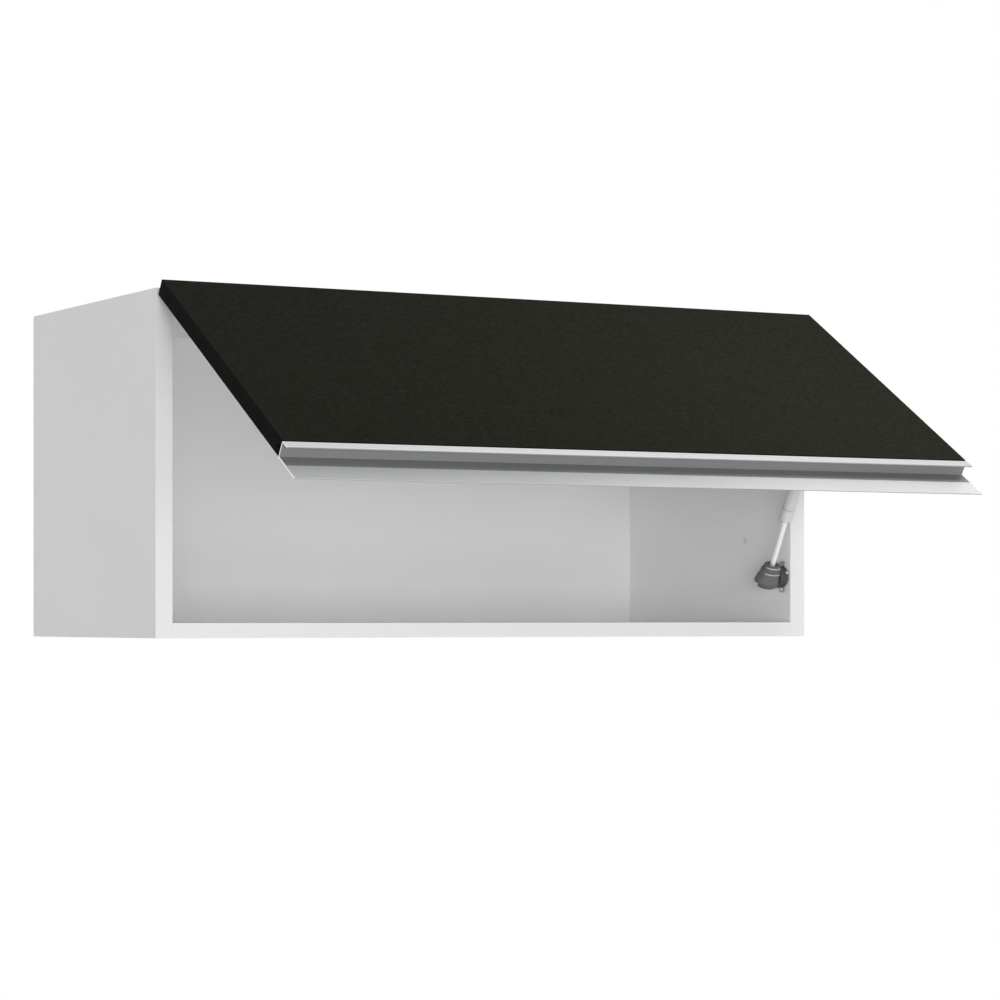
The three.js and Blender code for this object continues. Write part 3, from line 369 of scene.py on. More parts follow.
def counter_clockwise(points):
    area = sum(a[0] * b[1] - b[0] * a[1] for a, b in zip(points, points[1:] + points[:1]))
    return list(points) if area > 0 else list(reversed(points))


def moved_in(points, distance):
    """A closed outline moved to its left, into the material, by distance."""
    moved = []
    for i, here in enumerate(points):
        here = Vector(here)
        along_in = (here - Vector(points[i - 1])).normalized()
        along_out = (Vector(points[(i + 1) % len(points)]) - here).normalized()
        left_in = Vector((-along_in.y, along_in.x))
        left_out = Vector((-along_out.y, along_out.x))
        reach = distance / max(0.3, 1 + left_in.dot(left_out))
        moved.append(tuple(here + (left_in + left_out) * reach))
    return moved


AXES = {
    "x": Matrix(((0, 0, 1, 0), (1, 0, 0, 0), (0, 1, 0, 0), (0, 0, 0, 1))),
    "y": Matrix(((1, 0, 0, 0), (0, 0, 1, 0), (0, 1, 0, 0), (0, 0, 0, 1))),
    "z": Matrix.Identity(4),
}


def skin(bm, rings):
    """Joins each ring of vertices to the next. A ring may be a single vertex."""
    for lower, upper in zip(rings, rings[1:]):
        count = max(len(lower), len(upper))
        for i in range(count):
            j = (i + 1) % count
            around = [ring[k % len(ring)] for ring, k in ((lower, i), (lower, j), (upper, j), (upper, i))]
            corners = list(dict.fromkeys(around))
            if len(corners) > 2:
                bm.faces.new(corners)


def rounded_rim(bm, place, points, level, inward, radius, steps):
    """Rings of vertices that round an outline's rim, from the flat face at level into the plate."""
    rings = []
    for step in range(steps + 1):
        angle = math.pi / 2 * step / steps
        ring = moved_in(points, radius * (1 - math.sin(angle)))
        height = level + inward * radius * (1 - math.cos(angle))
        rings.append([bm.verts.new(place @ Vector((a, b, height))) for a, b in ring])
    return rings


def flat_cap(bm, place, rings):
    """Fills the flat face between an outline's ring and the rings of its holes."""
    unplace = place.inverted()
    flat = [[(unplace @ v.co).to_2d().to_3d() for v in ring] for ring in rings]
    corners = [v for ring in rings for v in ring]
    for triangle in tessellate_polygon(flat):
        bm.faces.new([corners[i] for i in triangle])


def plate(
    bm, outline, low, high, axis="z", rounding=0.3 * MM, holes=(), steps=3, turn=None, hole_rounding=None
):
    """Adds a plate of that outline from low to high along an axis, with rounded rims.

    For axis x the outline is in (y, z), for y in (x, z) and for z in (x, y). Each hole is
    (outline, side, depth), with side "low", "high" or "through".
    """
    place = AXES[axis] if turn is None else turn @ AXES[axis]
    inner_rounding = rounding if hole_rounding is None else hole_rounding
    walls = [(counter_clockwise(outline), "through", 0, rounding)]
    for points, side, depth in holes:
        walls.append((counter_clockwise(points)[::-1], side, depth, inner_rounding))
    caps = {"low": [], "high": []}
    for points, side, depth, radius in walls:
        if side == "through":
            below = rounded_rim(bm, place, points, low, 1, radius, steps)
            above = rounded_rim(bm, place, points, high, -1, radius, steps)
            skin(bm, below + above[::-1])
            caps["low"].append(below[0])
            caps["high"].append(above[0])
            continue
        level, inward = (low, 1) if side == "low" else (high, -1)
        rings = rounded_rim(bm, place, points, level, inward, radius, steps)
        floor_at = level + inward * depth
        floor = [bm.verts.new(place @ Vector((a, b, floor_at))) for a, b in points]
        skin(bm, rings + [floor])
        bm.faces.new(floor)
        caps[side].append(rings[0])
    for rings in caps.values():
        flat_cap(bm, place, rings)


def around_axis(radius, steps):
    """Points round the origin, or the origin alone for radius 0."""
    angles = [2 * math.pi * step / steps for step in range(steps)]
    return [(radius * math.cos(angle), radius * math.sin(angle)) for angle in angles]


def turned(bm, profile, steps, turn):
    """Adds a round body about local Z from (radius, height) points, with one vertex on the axis."""
    rings = []
    for radius, height in profile:
        count = steps if radius > 0 else 1
        rings.append([bm.verts.new(turn @ Vector((a, b, height))) for a, b in around_axis(radius, count)])
    skin(bm, rings)


def lathe(name, profile, steps, turn, *told):
    """A piece that is one round body. told says its finishes, body, slot and nodes. The slot is not used.
    """
    bm = bmesh.new()
    turned(bm, profile, steps, turn)
    bmesh.ops.remove_doubles(bm, verts=bm.verts, dist=1e-7)
    finished(name, bm, *told)


def on_box_edge(edge, low, high):
    """Whether an edge lies along an edge of the box from low to high."""
    sides = 0
    for k in range(3):
        for level in (low[k], high[k]):
            sides += all(abs(v.co[k] - level) < 1e-5 for v in edge.verts)
    return sides >= 2


def is_sharp(edge):
    return len(edge.link_faces) == 2 and edge.calc_face_angle() > math.radians(35)


def softened(name, node, rim, hole_rim, materials, body, slot, undo=None):
    """A copy of a CAD node with its coplanar faces merged and its edges rounded.

    Edges on the node's outer box get the rim radius, and those of holes and pockets hole_rim.
    undo takes the node back to where its faces lie along the axes, such as the closed door.
    """
    undo = undo or Matrix.Identity(4)
    bm = bmesh.new()
    bm.from_mesh(frame["nodes"][node].data)
    bmesh.ops.transform(bm, matrix=undo, verts=bm.verts)
    bmesh.ops.remove_doubles(bm, verts=bm.verts, dist=1e-6)
    bmesh.ops.dissolve_limit(
        bm, angle_limit=math.radians(1), verts=bm.verts, edges=bm.edges, use_dissolve_boundaries=False
    )
    low = [min(v.co[k] for v in bm.verts) for k in range(3)]
    high = [max(v.co[k] for v in bm.verts) for k in range(3)]
    for radius, outer in ((rim, True), (hole_rim, False)):
        edges = [edge for edge in bm.edges if is_sharp(edge) and on_box_edge(edge, low, high) == outer]
        if radius > 0 and edges:
            bmesh.ops.bevel(
                bm, geom=edges, offset=radius, segments=3, profile=0.5, affect="EDGES", clamp_overlap=True
            )
    bmesh.ops.transform(bm, matrix=undo.inverted(), verts=bm.verts)
    return finished(name, bm, materials, body, slot, (node,))


def second_finish(piece, chosen):
    """Gives the chosen faces the second of a piece's finishes."""
    for face in piece.data.polygons:
        if chosen(face):
            face.material_index = 1


def cross(arm, half):
    """The outline of a cross recess, with arms of that reach and half width."""
    quarter = ((arm, -half), (arm, half), (half, half))
    points = []
    for turn in range(4):
        for a, b in quarter:
            for _ in range(turn):
                a, b = -b, a
            points.append((a, b))
    return points


TURNS = {
    "+x": (math.pi / 2, "Y"),
    "-x": (-math.pi / 2, "Y"),
    "+y": (-math.pi / 2, "X"),
    "-y": (math.pi / 2, "X"),
    "-z": (math.pi, "X"),
}


def facing(way, *place):
    """The frame at that place whose own Z axis runs that way."""
    angle, axis = TURNS[way]
    return Matrix.Translation(place) @ Matrix.Rotation(angle, 4, axis)


def screw_head(bm, radius, height, turn):
    """Adds a low round head with a cross recess. It sits on local height 0 and faces local +Z."""
    recess = (cross(0.55 * radius, 0.13 * radius), "high", 0.55 * height)
    plate(bm, circle((0, 0), radius, 40), 0, height, "z", 0.45 * height, [recess], 3, turn, 0.03 * MM)


def thread(bm, radius, start, end, turn, pitch=1.1 * MM):
    """Adds a threaded shank about local Z, with its tip at height start."""
    root = 0.74 * radius
    profile = [(0, start), (0.25 * radius, start)]
    height = start + 1.6 * MM
    while height + pitch < end:
        share = min(1.0, (height - start) / (3 * MM))
        profile += [(root * share, height), (radius * share, height + 0.45 * pitch)]
        height += pitch
    profile += [(root, height), (root, end), (0, end)]
    turned(bm, profile, 32, turn)


# ---- carcass

BOARD_RIM = 0.5 * MM
BAND_RIM = 0.4 * MM
HOLE_RIM = 0.15 * MM


def rectangle(low_a, high_a, low_b, high_b, radius=0.0):
    corners = ((low_a, low_b), (high_a, low_b), (high_a, high_b), (low_a, high_b))
    return filleted([(a, b, radius) for a, b in corners])


def make_boards():
    for name in ("side_panel_left", "side_panel_right", "top_panel", "bottom_panel"):
        finishes = [MELAMINE, CHIPBOARD]
        board = softened(f"{name}_board", name, BOARD_RIM, HOLE_RIM, finishes, "carcass", "white_board")
        second_finish(board, lambda face: face.normal.y > 0.9 and face.center.y > SIDE_HIGH.y - MM)
    for name in ("left", "right", "top", "bottom"):
        node = f"edge_band_{name}"
        low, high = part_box(node)
        bm = bmesh.new()
        plate(bm, rectangle(low.x, high.x, low.z, high.z), low.y, high.y, "y", BAND_RIM)
        finished(f"{node}_strip", bm, [EDGE_PLASTIC], "carcass", "white_edge", (node,))


NAIL_RADIUS = 1.6 * MM
NAIL_SEAT_RADIUS = 1.9 * MM
NAIL_SEAT_DEPTH = 0.7 * MM
NAIL_FROM_EDGE = 9 * MM
NAIL_SPACING = 110 * MM
HOOK_HOLE_MARGIN = 5 * MM
WHITE_FACE_DEPTH = 0.4 * MM


def nail_places():
    """Nails round the back panel's edge, evenly spaced, one in each corner."""
    low_x, high_x = BACK_LOW.x + NAIL_FROM_EDGE, BACK_HIGH.x - NAIL_FROM_EDGE
    low_z, high_z = BACK_LOW.z + NAIL_FROM_EDGE, BACK_HIGH.z - NAIL_FROM_EDGE
    across = round((high_x - low_x) / NAIL_SPACING)
    upward = round((high_z - low_z) / NAIL_SPACING)
    places = []
    for i in range(across + 1):
        x = low_x + (high_x - low_x) * i / across
        places += [(x, low_z), (x, high_z)]
    for i in range(1, upward):
        z = low_z + (high_z - low_z) * i / upward
        places += [(low_x, z), (high_x, z)]
    return places


def make_back():
    hooks = [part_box(f"hanger_hook_{name}") for name, _ in SIDES]
    margin = HOOK_HOLE_MARGIN
    holes = []
    for low, high in hooks:
        middle_x = (low.x + high.x) / 2
        half = (high.x - low.x) / 2 + margin
        hole = rectangle(middle_x - half, middle_x + half, low.z - margin, high.z + margin, 2 * MM)
        holes.append((hole, "through", 0))
    nails = nail_places()
    holes += [(circle(place, NAIL_SEAT_RADIUS, 24), "high", NAIL_SEAT_DEPTH) for place in nails]
    bm = bmesh.new()
    outline = rectangle(BACK_LOW.x, BACK_HIGH.x, BACK_LOW.z, BACK_HIGH.z)
    plate(bm, outline, BACK_LOW.y, BACK_HIGH.y, "y", 0.12 * MM, holes, 2)
    for face in bm.faces:
        face.material_index = int(face.calc_center_median().y > BACK_LOW.y + WHITE_FACE_DEPTH)
    finished("back_board", bm, [BACK_BOARD, HARDBOARD], "carcass", "white_back", ("back_panel",))

    heads = bmesh.new()
    for x, z in nails:
        seat = BACK_HIGH.y - NAIL_SEAT_DEPTH + 0.02 * MM
        top = BACK_HIGH.y - 0.15 * MM
        plate(heads, circle((x, z), NAIL_RADIUS, 24), seat, top, "y", 0.1 * MM, steps=2)
    finished("back_board_nails", heads, [ZINC], "carcass", "zinc")


BOLT_ROWS = {"front": FRONT + 60 * MM, "rear": BACK_LOW.y - 60 * MM}
PANEL_MIDDLES = {"top": (TOP + TOP_INNER) / 2, "bottom": -(TOP + TOP_INNER) / 2}
BOLT_THREAD_RADIUS = 2.4 * MM
BOLT_THREAD_LENGTH = 11 * MM
BOLT_THREAD_PITCH = 1.5 * MM
BOLT_SHAFT_RADIUS = 3.4 * MM
BOLT_SHAFT_LENGTH = 26.1 * MM
BOLT_NECK_RADIUS = 1.8 * MM
BOLT_HEAD_RADIUS = 3 * MM
BOLT_END = 36.7 * MM
DOWEL_RADIUS = 3.9 * MM
DOWEL_FLUTE = 0.12 * MM
DOWEL_FLUTES = 24
DOWEL_IN_SIDE = 12 * MM
DOWEL_IN_PANEL = 18 * MM


def make_bolt(name, side, x, y, z):
    """A cam bolt: a thread in the side board, a shaft in the panel and a head in the cam."""
    turn = facing("-x" if side > 0 else "+x", x, y, z)
    bm = bmesh.new()
    thread(bm, BOLT_THREAD_RADIUS, -BOLT_THREAD_LENGTH, 0.2 * MM, turn, BOLT_THREAD_PITCH)
    shaft, neck, head = BOLT_SHAFT_RADIUS, BOLT_NECK_RADIUS, BOLT_HEAD_RADIUS
    reach, end = BOLT_SHAFT_LENGTH, BOLT_END
    profile = [(0, 0), (shaft - 0.3 * MM, 0), (shaft, 0.3 * MM), (shaft, reach - 0.3 * MM)]
    profile += [(shaft - 0.3 * MM, reach), (neck, reach + 1 * MM), (neck, end - 3.7 * MM)]
    profile += [(head - 0.4 * MM, end - 3.1 * MM), (head, end - 2.5 * MM), (head, end - 0.4 * MM)]
    profile += [(head - 0.4 * MM, end), (0, end)]
    turned(bm, profile, 40, turn)
    finished(f"{name}_steel", bm, [ZINC], "carcass", "zinc", (name,))


def make_dowel(name, side, y, z):
    outline = []
    for step in range(2 * DOWEL_FLUTES):
        angle = math.pi * step / DOWEL_FLUTES
        radius = DOWEL_RADIUS - DOWEL_FLUTE * (step % 2)
        outline.append((y + radius * math.cos(angle), z + radius * math.sin(angle)))
    ends = sorted((side * (INNER_X + DOWEL_IN_SIDE), side * (INNER_X - DOWEL_IN_PANEL)))
    bm = bmesh.new()
    plate(bm, outline, *ends, "x", 0.6 * MM)
    finished(f"{name}_peg", bm, [BEECH], "carcass", "beech", (name,))


def make_fittings():
    for level, z in PANEL_MIDDLES.items():
        for side_name, side in SIDES:
            for row, y in BOLT_ROWS.items():
                place = f"{level}_{side_name}_{row}"
                lock = f"cam_lock_{place}"
                softened(f"{lock}_drum", lock, 0.25 * MM, 0.12 * MM, [ZINC], "carcass", "zinc")
                make_bolt(f"cam_bolt_{place}", side, side * INNER_X, y, z)
            middle = sum(BOLT_ROWS.values()) / 2
            make_dowel(f"dowel_{level}_{side_name}", side, middle, z)


PLUG_PLACE = (INNER_X, FRONT + 94 * MM, BOTTOM + 111 * MM)
PLUG_SHANK_RADIUS = 2.4 * MM
PLUG_SHANK_LENGTH = 8 * MM
PLUG_RIDGES = (-6 * MM, -4.5 * MM, -3 * MM)
PLUG_HEAD_RADIUS = 4.4 * MM
PLUG_HEAD_HEIGHT = 0.8 * MM


def make_plug():
    """The cap of the spare hole, with a domed head and a ridged shank."""
    shank, head, tip = PLUG_SHANK_RADIUS, PLUG_HEAD_RADIUS, -PLUG_SHANK_LENGTH
    profile = [(0, tip), (shank - 0.5 * MM, tip), (shank, tip + 0.8 * MM)]
    for ridge in PLUG_RIDGES:
        profile += [(shank, ridge), (shank - 0.25 * MM, ridge + 0.3 * MM), (shank, ridge + 0.8 * MM)]
    profile += [(shank, 0), (head, 0), (head, 0.3 * MM), (head * 0.93, 0.55 * MM)]
    profile += [(head * 0.78, 0.72 * MM), (head * 0.4, PLUG_HEAD_HEIGHT), (0, PLUG_HEAD_HEIGHT)]
    turn = facing("-x", *PLUG_PLACE)
    lathe("spare_hole_cap", profile, 48, turn, [HOLE_PLUG], "carcass", "pale_plastic", ("spare_hole_plug",))


# ---- cabinet hangers

HANGER_WIDTH = 20 * MM
HANGER_DEPTH = 45 * MM
HANGER_HEIGHT = 62 * MM
HANGER_SCREW_DEPTH = 5 * MM
HANGER_SCREW_SPACING = 26 * MM
HANGER_SCREW_FLOOR = BACK_LOW.y - FIT_GAP - HANGER_DEPTH + HANGER_SCREW_DEPTH
HANGER_MIDDLE_Z = TOP_INNER - HANGER_HEIGHT / 2


def make_hangers():
    for name, side in SIDES:
        housing, hook = f"hanger_housing_{name}", f"hanger_hook_{name}"
        softened(f"{housing}_case", housing, 0.6 * MM, 0.3 * MM, [PALE_PLASTIC], "carcass", "pale_plastic")
        softened(f"{hook}_steel", hook, 0.4 * MM, 0.2 * MM, [ZINC], "carcass", "zinc")
        x = side * (INNER_X - HANGER_WIDTH / 2)
        bm = bmesh.new()
        for way in (-1, 1):
            z = HANGER_MIDDLE_Z + way * HANGER_SCREW_SPACING / 2
            screw_head(bm, 3.5 * MM, 2.2 * MM, facing("-y", x, HANGER_SCREW_FLOOR, z))
        finished(f"hanger_adjusters_{name}", bm, [ZINC], "carcass", "zinc")


# ---- hinges

HINGE_X = OUTER_X - 100 * MM
CUP_RADIUS = 17.5 * MM
CUP_DEPTH = 12.5 * MM
CUP_WALL = 0.9 * MM
CUP_INNER_RADIUS = CUP_RADIUS - CUP_WALL
CUP_MIDDLE_Z = DOOR_TOP - 3.5 * MM - CUP_RADIUS
CUP_SEAT = DOOR_BACK + FIT_GAP
CUP_BOTTOM = CUP_SEAT - CUP_DEPTH
CUP_EAR_REACH = 26 * MM
CUP_EAR_HALF = 13 * MM
CUP_EAR_CORNER = 8 * MM
CUP_EAR_OVERLAP = 0.4 * MM
CUP_FACE = CUP_SEAT + 1.1 * MM
CUP_SCREW_REACH = 21.3 * MM
CUP_PIVOT_Y = DOOR_BACK + 1.5 * MM
CUP_PIVOT_Z = CUP_MIDDLE_Z + 2.7 * MM
CUP_PIVOT_RADIUS = 1.5 * MM
CUP_CHEEK_HALF = 2 * MM
CUP_CHEEK_FROM = 12.1 * MM
CUP_PIVOT_REACH = (4.4 * MM, 12.6 * MM)
WING_SCREW_REACH = 18 * MM
WING_MIDDLE_Y = FRONT + 37 * MM
WING_FACE = TOP_INNER - 3 * MM
ARM_FACE = TOP_INNER - 15 * MM
ARM_SCREWS_Y = (FRONT + 22 * MM, FRONT + 52 * MM)


def cup_profile():
    """(radius, height) points of the cup's round wall, from its bottom to its inner floor."""
    round_out, round_in, lip = 1.6 * MM, 1.0 * MM, 0.25 * MM
    outer, inner, floor = CUP_RADIUS, CUP_INNER_RADIUS, CUP_BOTTOM + CUP_WALL
    profile = [(0, CUP_BOTTOM)]
    profile += arc((outer - round_out, CUP_BOTTOM + round_out), round_out, -90, 0, 6)
    profile += [(outer, CUP_FACE - lip), (outer - lip, CUP_FACE)]
    profile += [(inner + lip, CUP_FACE), (inner, CUP_FACE - lip)]
    profile += arc((inner - round_in, floor + round_in), round_in, 0, -90, 4)
    return [*profile, (0, floor)]


def ear_outline(x, way):
    """The outline in (x, z) of the cup's ear on that side, which follows the round wall."""
    start = math.asin(CUP_EAR_HALF / CUP_RADIUS)
    waist = x + way * CUP_RADIUS * math.cos(start)
    end = x + way * CUP_EAR_REACH
    high, low = CUP_MIDDLE_Z + CUP_EAR_HALF, CUP_MIDDLE_Z - CUP_EAR_HALF
    corners = [(waist, low, 0), (end, low, CUP_EAR_CORNER), (end, high, CUP_EAR_CORNER), (waist, high, 0)]
    reach = CUP_RADIUS - CUP_EAR_OVERLAP
    for step in range(1, 12):
        angle = start * (1 - step / 6)
        corners.append((x + way * reach * math.cos(angle), CUP_MIDDLE_Z + reach * math.sin(angle), 0))
    return filleted(corners)


def make_hinge_cup(name, side):
    """The cup in the door with its two ears, its cheeks and the pins that carry the link."""
    x = side * HINGE_X
    bm = bmesh.new()
    turned(bm, cup_profile(), 96, facing("+y", x, 0, CUP_MIDDLE_Z))
    half = CUP_CHEEK_HALF
    for way in (-1, 1):
        plate(bm, ear_outline(x, way), CUP_SEAT, CUP_FACE, "y", 0.2 * MM)
        near, far = sorted((x + way * CUP_CHEEK_FROM, x + way * (CUP_INNER_RADIUS + 0.3 * MM)))
        low_y, high_y = CUP_BOTTOM + 1 * MM, CUP_PIVOT_Y + half
        cheek = rectangle(low_y, high_y, CUP_PIVOT_Z - half, CUP_PIVOT_Z + half, 0.8 * MM)
        plate(bm, cheek, near, far, "x", 0.3 * MM)
        near, far = sorted(x + way * reach for reach in CUP_PIVOT_REACH)
        plate(bm, circle((CUP_PIVOT_Y, CUP_PIVOT_Z), CUP_PIVOT_RADIUS, 32), near, far, "x", 0.2 * MM)
    finished(f"hinge_cup_{name}_steel", opened(bm), [NICKEL], "door", "nickel", (f"hinge_cup_{name}",))

    heads = bmesh.new()
    for way in (-1, 1):
        turn = facing("+y", x + way * CUP_SCREW_REACH, CUP_FACE - 0.1 * MM, CUP_MIDDLE_Z)
        screw_head(heads, 3.1 * MM, 0.5 * MM, turn)
    finished(f"hinge_cup_screws_{name}", opened(heads), [ZINC], "door", "zinc")


def make_hinges():
    steel_parts = (
        ("hinge_plate", "carcass", 0.5 * MM, 0.15 * MM),
        ("hinge_arm", "carcass", 0.35 * MM, 0.15 * MM),
        ("hinge_link", "hinge_links", 0.2 * MM, 0.2 * MM),
    )
    for name, side in SIDES:
        for part, body, rim, hole_rim in steel_parts:
            node = f"{part}_{name}"
            softened(f"{node}_steel", node, rim, hole_rim, [NICKEL], body, "nickel")
        make_hinge_cup(name, side)
        x = side * HINGE_X
        bm = bmesh.new()
        for way in (-1, 1):
            turn = facing("-z", x + way * WING_SCREW_REACH, WING_MIDDLE_Y, WING_FACE + 0.1 * MM)
            screw_head(bm, 3.4 * MM, 1.5 * MM, turn)
        for y in ARM_SCREWS_Y:
            screw_head(bm, 3.0 * MM, 0.9 * MM, facing("-z", x, y, ARM_FACE + 0.1 * MM))
        finished(f"hinge_screws_{name}", bm, [ZINC], "carcass", "zinc")


# ---- door and grip profile

PROFILE_WALL = 1.4 * MM
PROFILE_LIP = 13 * MM
PROFILE_FLANGE = 43 * MM
PROFILE_CORNER = 2.4 * MM
FLANGE_STEP_AT = 17 * MM
FLANGE_STEP = 0.25 * MM
LIP_GROOVES = (5.2 * MM, 9.0 * MM)
LIP_GROOVE_DEPTH = 0.18 * MM
TONGUE_HEIGHT = 8 * MM
TONGUE_THICKNESS = 1.4 * MM
TONGUE_BARB = 0.6 * MM
TONGUE_BARB_SHARES = (0.35, 0.7)
TONGUE_CUT_BACK = 8 * MM


def opened(bm):
    """Turns what was drawn in the closed door to the open door."""
    bmesh.ops.transform(bm, matrix=DOOR_OPENED, verts=bm.verts)
    return bm


def profile_corners():
    """The grip profile's section in (y, z), with a radius for each corner, in the closed door."""
    web = DOOR_EDGE - FIT_GAP
    inner = web - PROFILE_WALL
    lip = DOOR_EDGE - PROFILE_LIP
    flange = DOOR_EDGE - PROFILE_FLANGE
    flange_face = DOOR_BACK - PROFILE_WALL
    tip = 0.3 * MM
    root = 0.5 * MM
    corners = [
        (DOOR_FACE, lip, tip),
        (DOOR_FACE + PROFILE_WALL, lip, tip),
        (DOOR_FACE + PROFILE_WALL, inner, root),
        (flange_face, inner, root),
        (flange_face, inner - FLANGE_STEP_AT, 0),
        (flange_face + FLANGE_STEP, inner - FLANGE_STEP_AT - FLANGE_STEP, 0),
        (flange_face + FLANGE_STEP, flange, tip),
        (DOOR_BACK, flange, tip),
        (DOOR_BACK, web, tip),
        (DOOR_FACE, web, PROFILE_CORNER),
    ]
    for groove in LIP_GROOVES:
        height = web - groove
        corners += [
            (DOOR_FACE, height + LIP_GROOVE_DEPTH, 0),
            (DOOR_FACE + LIP_GROOVE_DEPTH, height, 0),
            (DOOR_FACE, height - LIP_GROOVE_DEPTH, 0),
        ]
    return corners


def tongue_corners():
    """The barbed tongue that holds the profile in the door's groove."""
    web = DOOR_EDGE - FIT_GAP
    middle = DOOR_BACK - DOOR_THICKNESS / 2
    half = TONGUE_THICKNESS / 2
    rear = [(half, web - 0.5 * MM, 0)]
    for share in TONGUE_BARB_SHARES:
        height = web + TONGUE_HEIGHT * share
        rear += [(half, height, 0), (half + TONGUE_BARB, height, 0.05 * MM)]
        rear.append((half, height + 2 * TONGUE_BARB, 0))
    rear.append((half, web + TONGUE_HEIGHT, 0.3 * MM))
    corners = [(middle + reach, height, radius) for reach, height, radius in rear]
    return corners + [(middle - reach, height, radius) for reach, height, radius in reversed(rear)]


def make_profile():
    bm = bmesh.new()
    plate(bm, filleted(profile_corners()), -DOOR_HALF, DOOR_HALF, "x", 0.1 * MM, steps=2)
    reach = DOOR_HALF - TONGUE_CUT_BACK
    plate(bm, filleted(tongue_corners()), -reach, reach, "x", 0.05 * MM, steps=1)
    bm.normal_update()
    inner = DOOR_EDGE - FIT_GAP - PROFILE_WALL
    # Faces inside the channel, up to the flange's step, take the dark channel finish, which is painted
    # shade for the lip's shadow and the channel's shade.
    for face in bm.faces:
        middle = face.calc_center_median()
        within = DOOR_FACE + PROFILE_WALL / 2 < middle.y < DOOR_BACK - PROFILE_WALL / 2
        if abs(face.normal.x) > 0.9:
            face.material_index = 1
        elif within and middle.z < inner - FLANGE_STEP_AT:
            face.material_index = 2
        elif within and middle.z < inner + PROFILE_WALL / 2:
            face.material_index = 3
    finishes = [ANODISED, CUT_ALUMINIUM, BRUSHED_ALUMINIUM, CHANNEL_PAINTED_SHADE]
    finished("grip_profile_bar", opened(bm), finishes, "door", "aluminium", ("grip_profile",))


DOOR_RIM = 0.8 * MM
BUFFER_X = OUTER_X - 9.5 * MM
BUFFER_Z = DOOR_EDGE + 17 * MM
BUFFER_RADIUS = 4 * MM
BUFFER_THICKNESS = DOOR_GAP - 2 * FIT_GAP
BUFFER_FLANK = 0.3 * BUFFER_THICKNESS


def make_door():
    closed = DOOR_OPENED.inverted()
    finishes = [BLACK_LAMINATE, BLACK_EDGE_BAND]
    leaf = softened("door_leaf", "door_panel", DOOR_RIM, HOLE_RIM, finishes, "door", "black_door", closed)
    outward = DOOR_OPENED.to_3x3() @ Vector((0, -1, 0))
    second_finish(leaf, lambda face: abs(face.normal.dot(outward)) < 0.3)


def make_buffers():
    """The two clear domes on the door's back, near its lower corners."""
    dome = BUFFER_THICKNESS - BUFFER_FLANK
    profile = [(0, 0), (BUFFER_RADIUS, 0), (BUFFER_RADIUS, BUFFER_FLANK)]
    for step in range(1, 8):
        angle = math.pi / 2 * step / 8
        profile.append((BUFFER_RADIUS * math.cos(angle), BUFFER_FLANK + dome * math.sin(angle)))
    profile.append((0, BUFFER_THICKNESS))
    for name, side in SIDES:
        bm = bmesh.new()
        turned(bm, profile, 48, facing("+y", side * BUFFER_X, DOOR_BACK + FIT_GAP, BUFFER_Z))
        node = f"door_buffer_{name}"
        finished(f"{node}_dome", opened(bm), [CLEAR_RUBBER], "door", "clear_buffer", (node,))


# ---- gas strut

ROD_RADIUS = 3.1 * MM
TUBE_RADIUS = 7.5 * MM
TUBE_WALL = 1.3 * MM
TUBE_MOUTH = 2 * MM
HOOD_ABOVE = 16 * MM
HOOD_BELOW = 13 * MM
GUIDE_LENGTH = 15 * MM
GUIDE_ROUNDING = 1.8 * MM
GUIDE_BORE = ROD_RADIUS + 0.2 * MM
GUIDE_SLEEVE_BORE = TUBE_RADIUS - 1.6 * MM
GUIDE_NOSE = 4 * MM
ROD_START = 6.4 * MM
ROD_IN_TUBE = 20 * MM
STROKE = 53.7 * MM
STROKE_RESERVE = 2 * MM
STRUT_LENGTH = 224.12 * MM
EYE_RADIUS = 7 * MM
EYE_HALF_WIDTH = 7.8 * MM
DIMPLE_RADIUS = 4.2 * MM
DIMPLE_DEPTH = 1.2 * MM
NECK_LENGTH = 8 * MM
NECK_RADIUS = 3.6 * MM
GUIDE_START = HOOD_ABOVE + STROKE_RESERVE + STROKE
TUBE_START = GUIDE_START + GUIDE_LENGTH
TUBE_END = STRUT_LENGTH - EYE_RADIUS - NECK_LENGTH - FIT_GAP


def make_strut_tube():
    """The tube and the guide sleeve in its mouth, which slide over the rod."""
    start, end, r = GUIDE_START, TUBE_START - FIT_GAP, GUIDE_ROUNDING
    profile = [(GUIDE_BORE, start + 1.2 * MM), (GUIDE_BORE, start)]
    profile += arc((TUBE_RADIUS - r, start + r), r, -90, 0, 8)
    profile += [(TUBE_RADIUS, end - 0.3 * MM), (TUBE_RADIUS - 0.3 * MM, end), (GUIDE_SLEEVE_BORE, end)]
    profile += [(GUIDE_SLEEVE_BORE, start + GUIDE_NOSE), (GUIDE_BORE, start + GUIDE_NOSE), profile[0]]
    told = ([WHITE_PAINT], "strut_upper", "white_steel")
    lathe("strut_guide_sleeve", profile, 64, STRUT_FRAME, *told, ("strut_rod_guide",))

    start, inner, r = TUBE_START, TUBE_RADIUS - TUBE_WALL, TUBE_WALL
    profile = [(0, start + TUBE_MOUTH), (inner, start + TUBE_MOUTH), (inner, start)]
    profile += [(TUBE_RADIUS - 0.3 * MM, start), (TUBE_RADIUS, start + 0.3 * MM)]
    profile += arc((TUBE_RADIUS - r, TUBE_END - r), r, 0, 90, 6)
    lathe("strut_cylinder", [*profile, (0, TUBE_END)], 64, STRUT_FRAME, *told, ("strut_tube",))


def make_strut_rod():
    high = TUBE_START + ROD_IN_TUBE
    profile = [(0, ROD_START), (ROD_RADIUS, ROD_START), (ROD_RADIUS, high), (0, high)]
    told = ([GROUND_STEEL], "strut_lower", "bright_rod", ("strut_rod",))
    lathe("strut_piston_rod", profile, 48, STRUT_FRAME, *told)


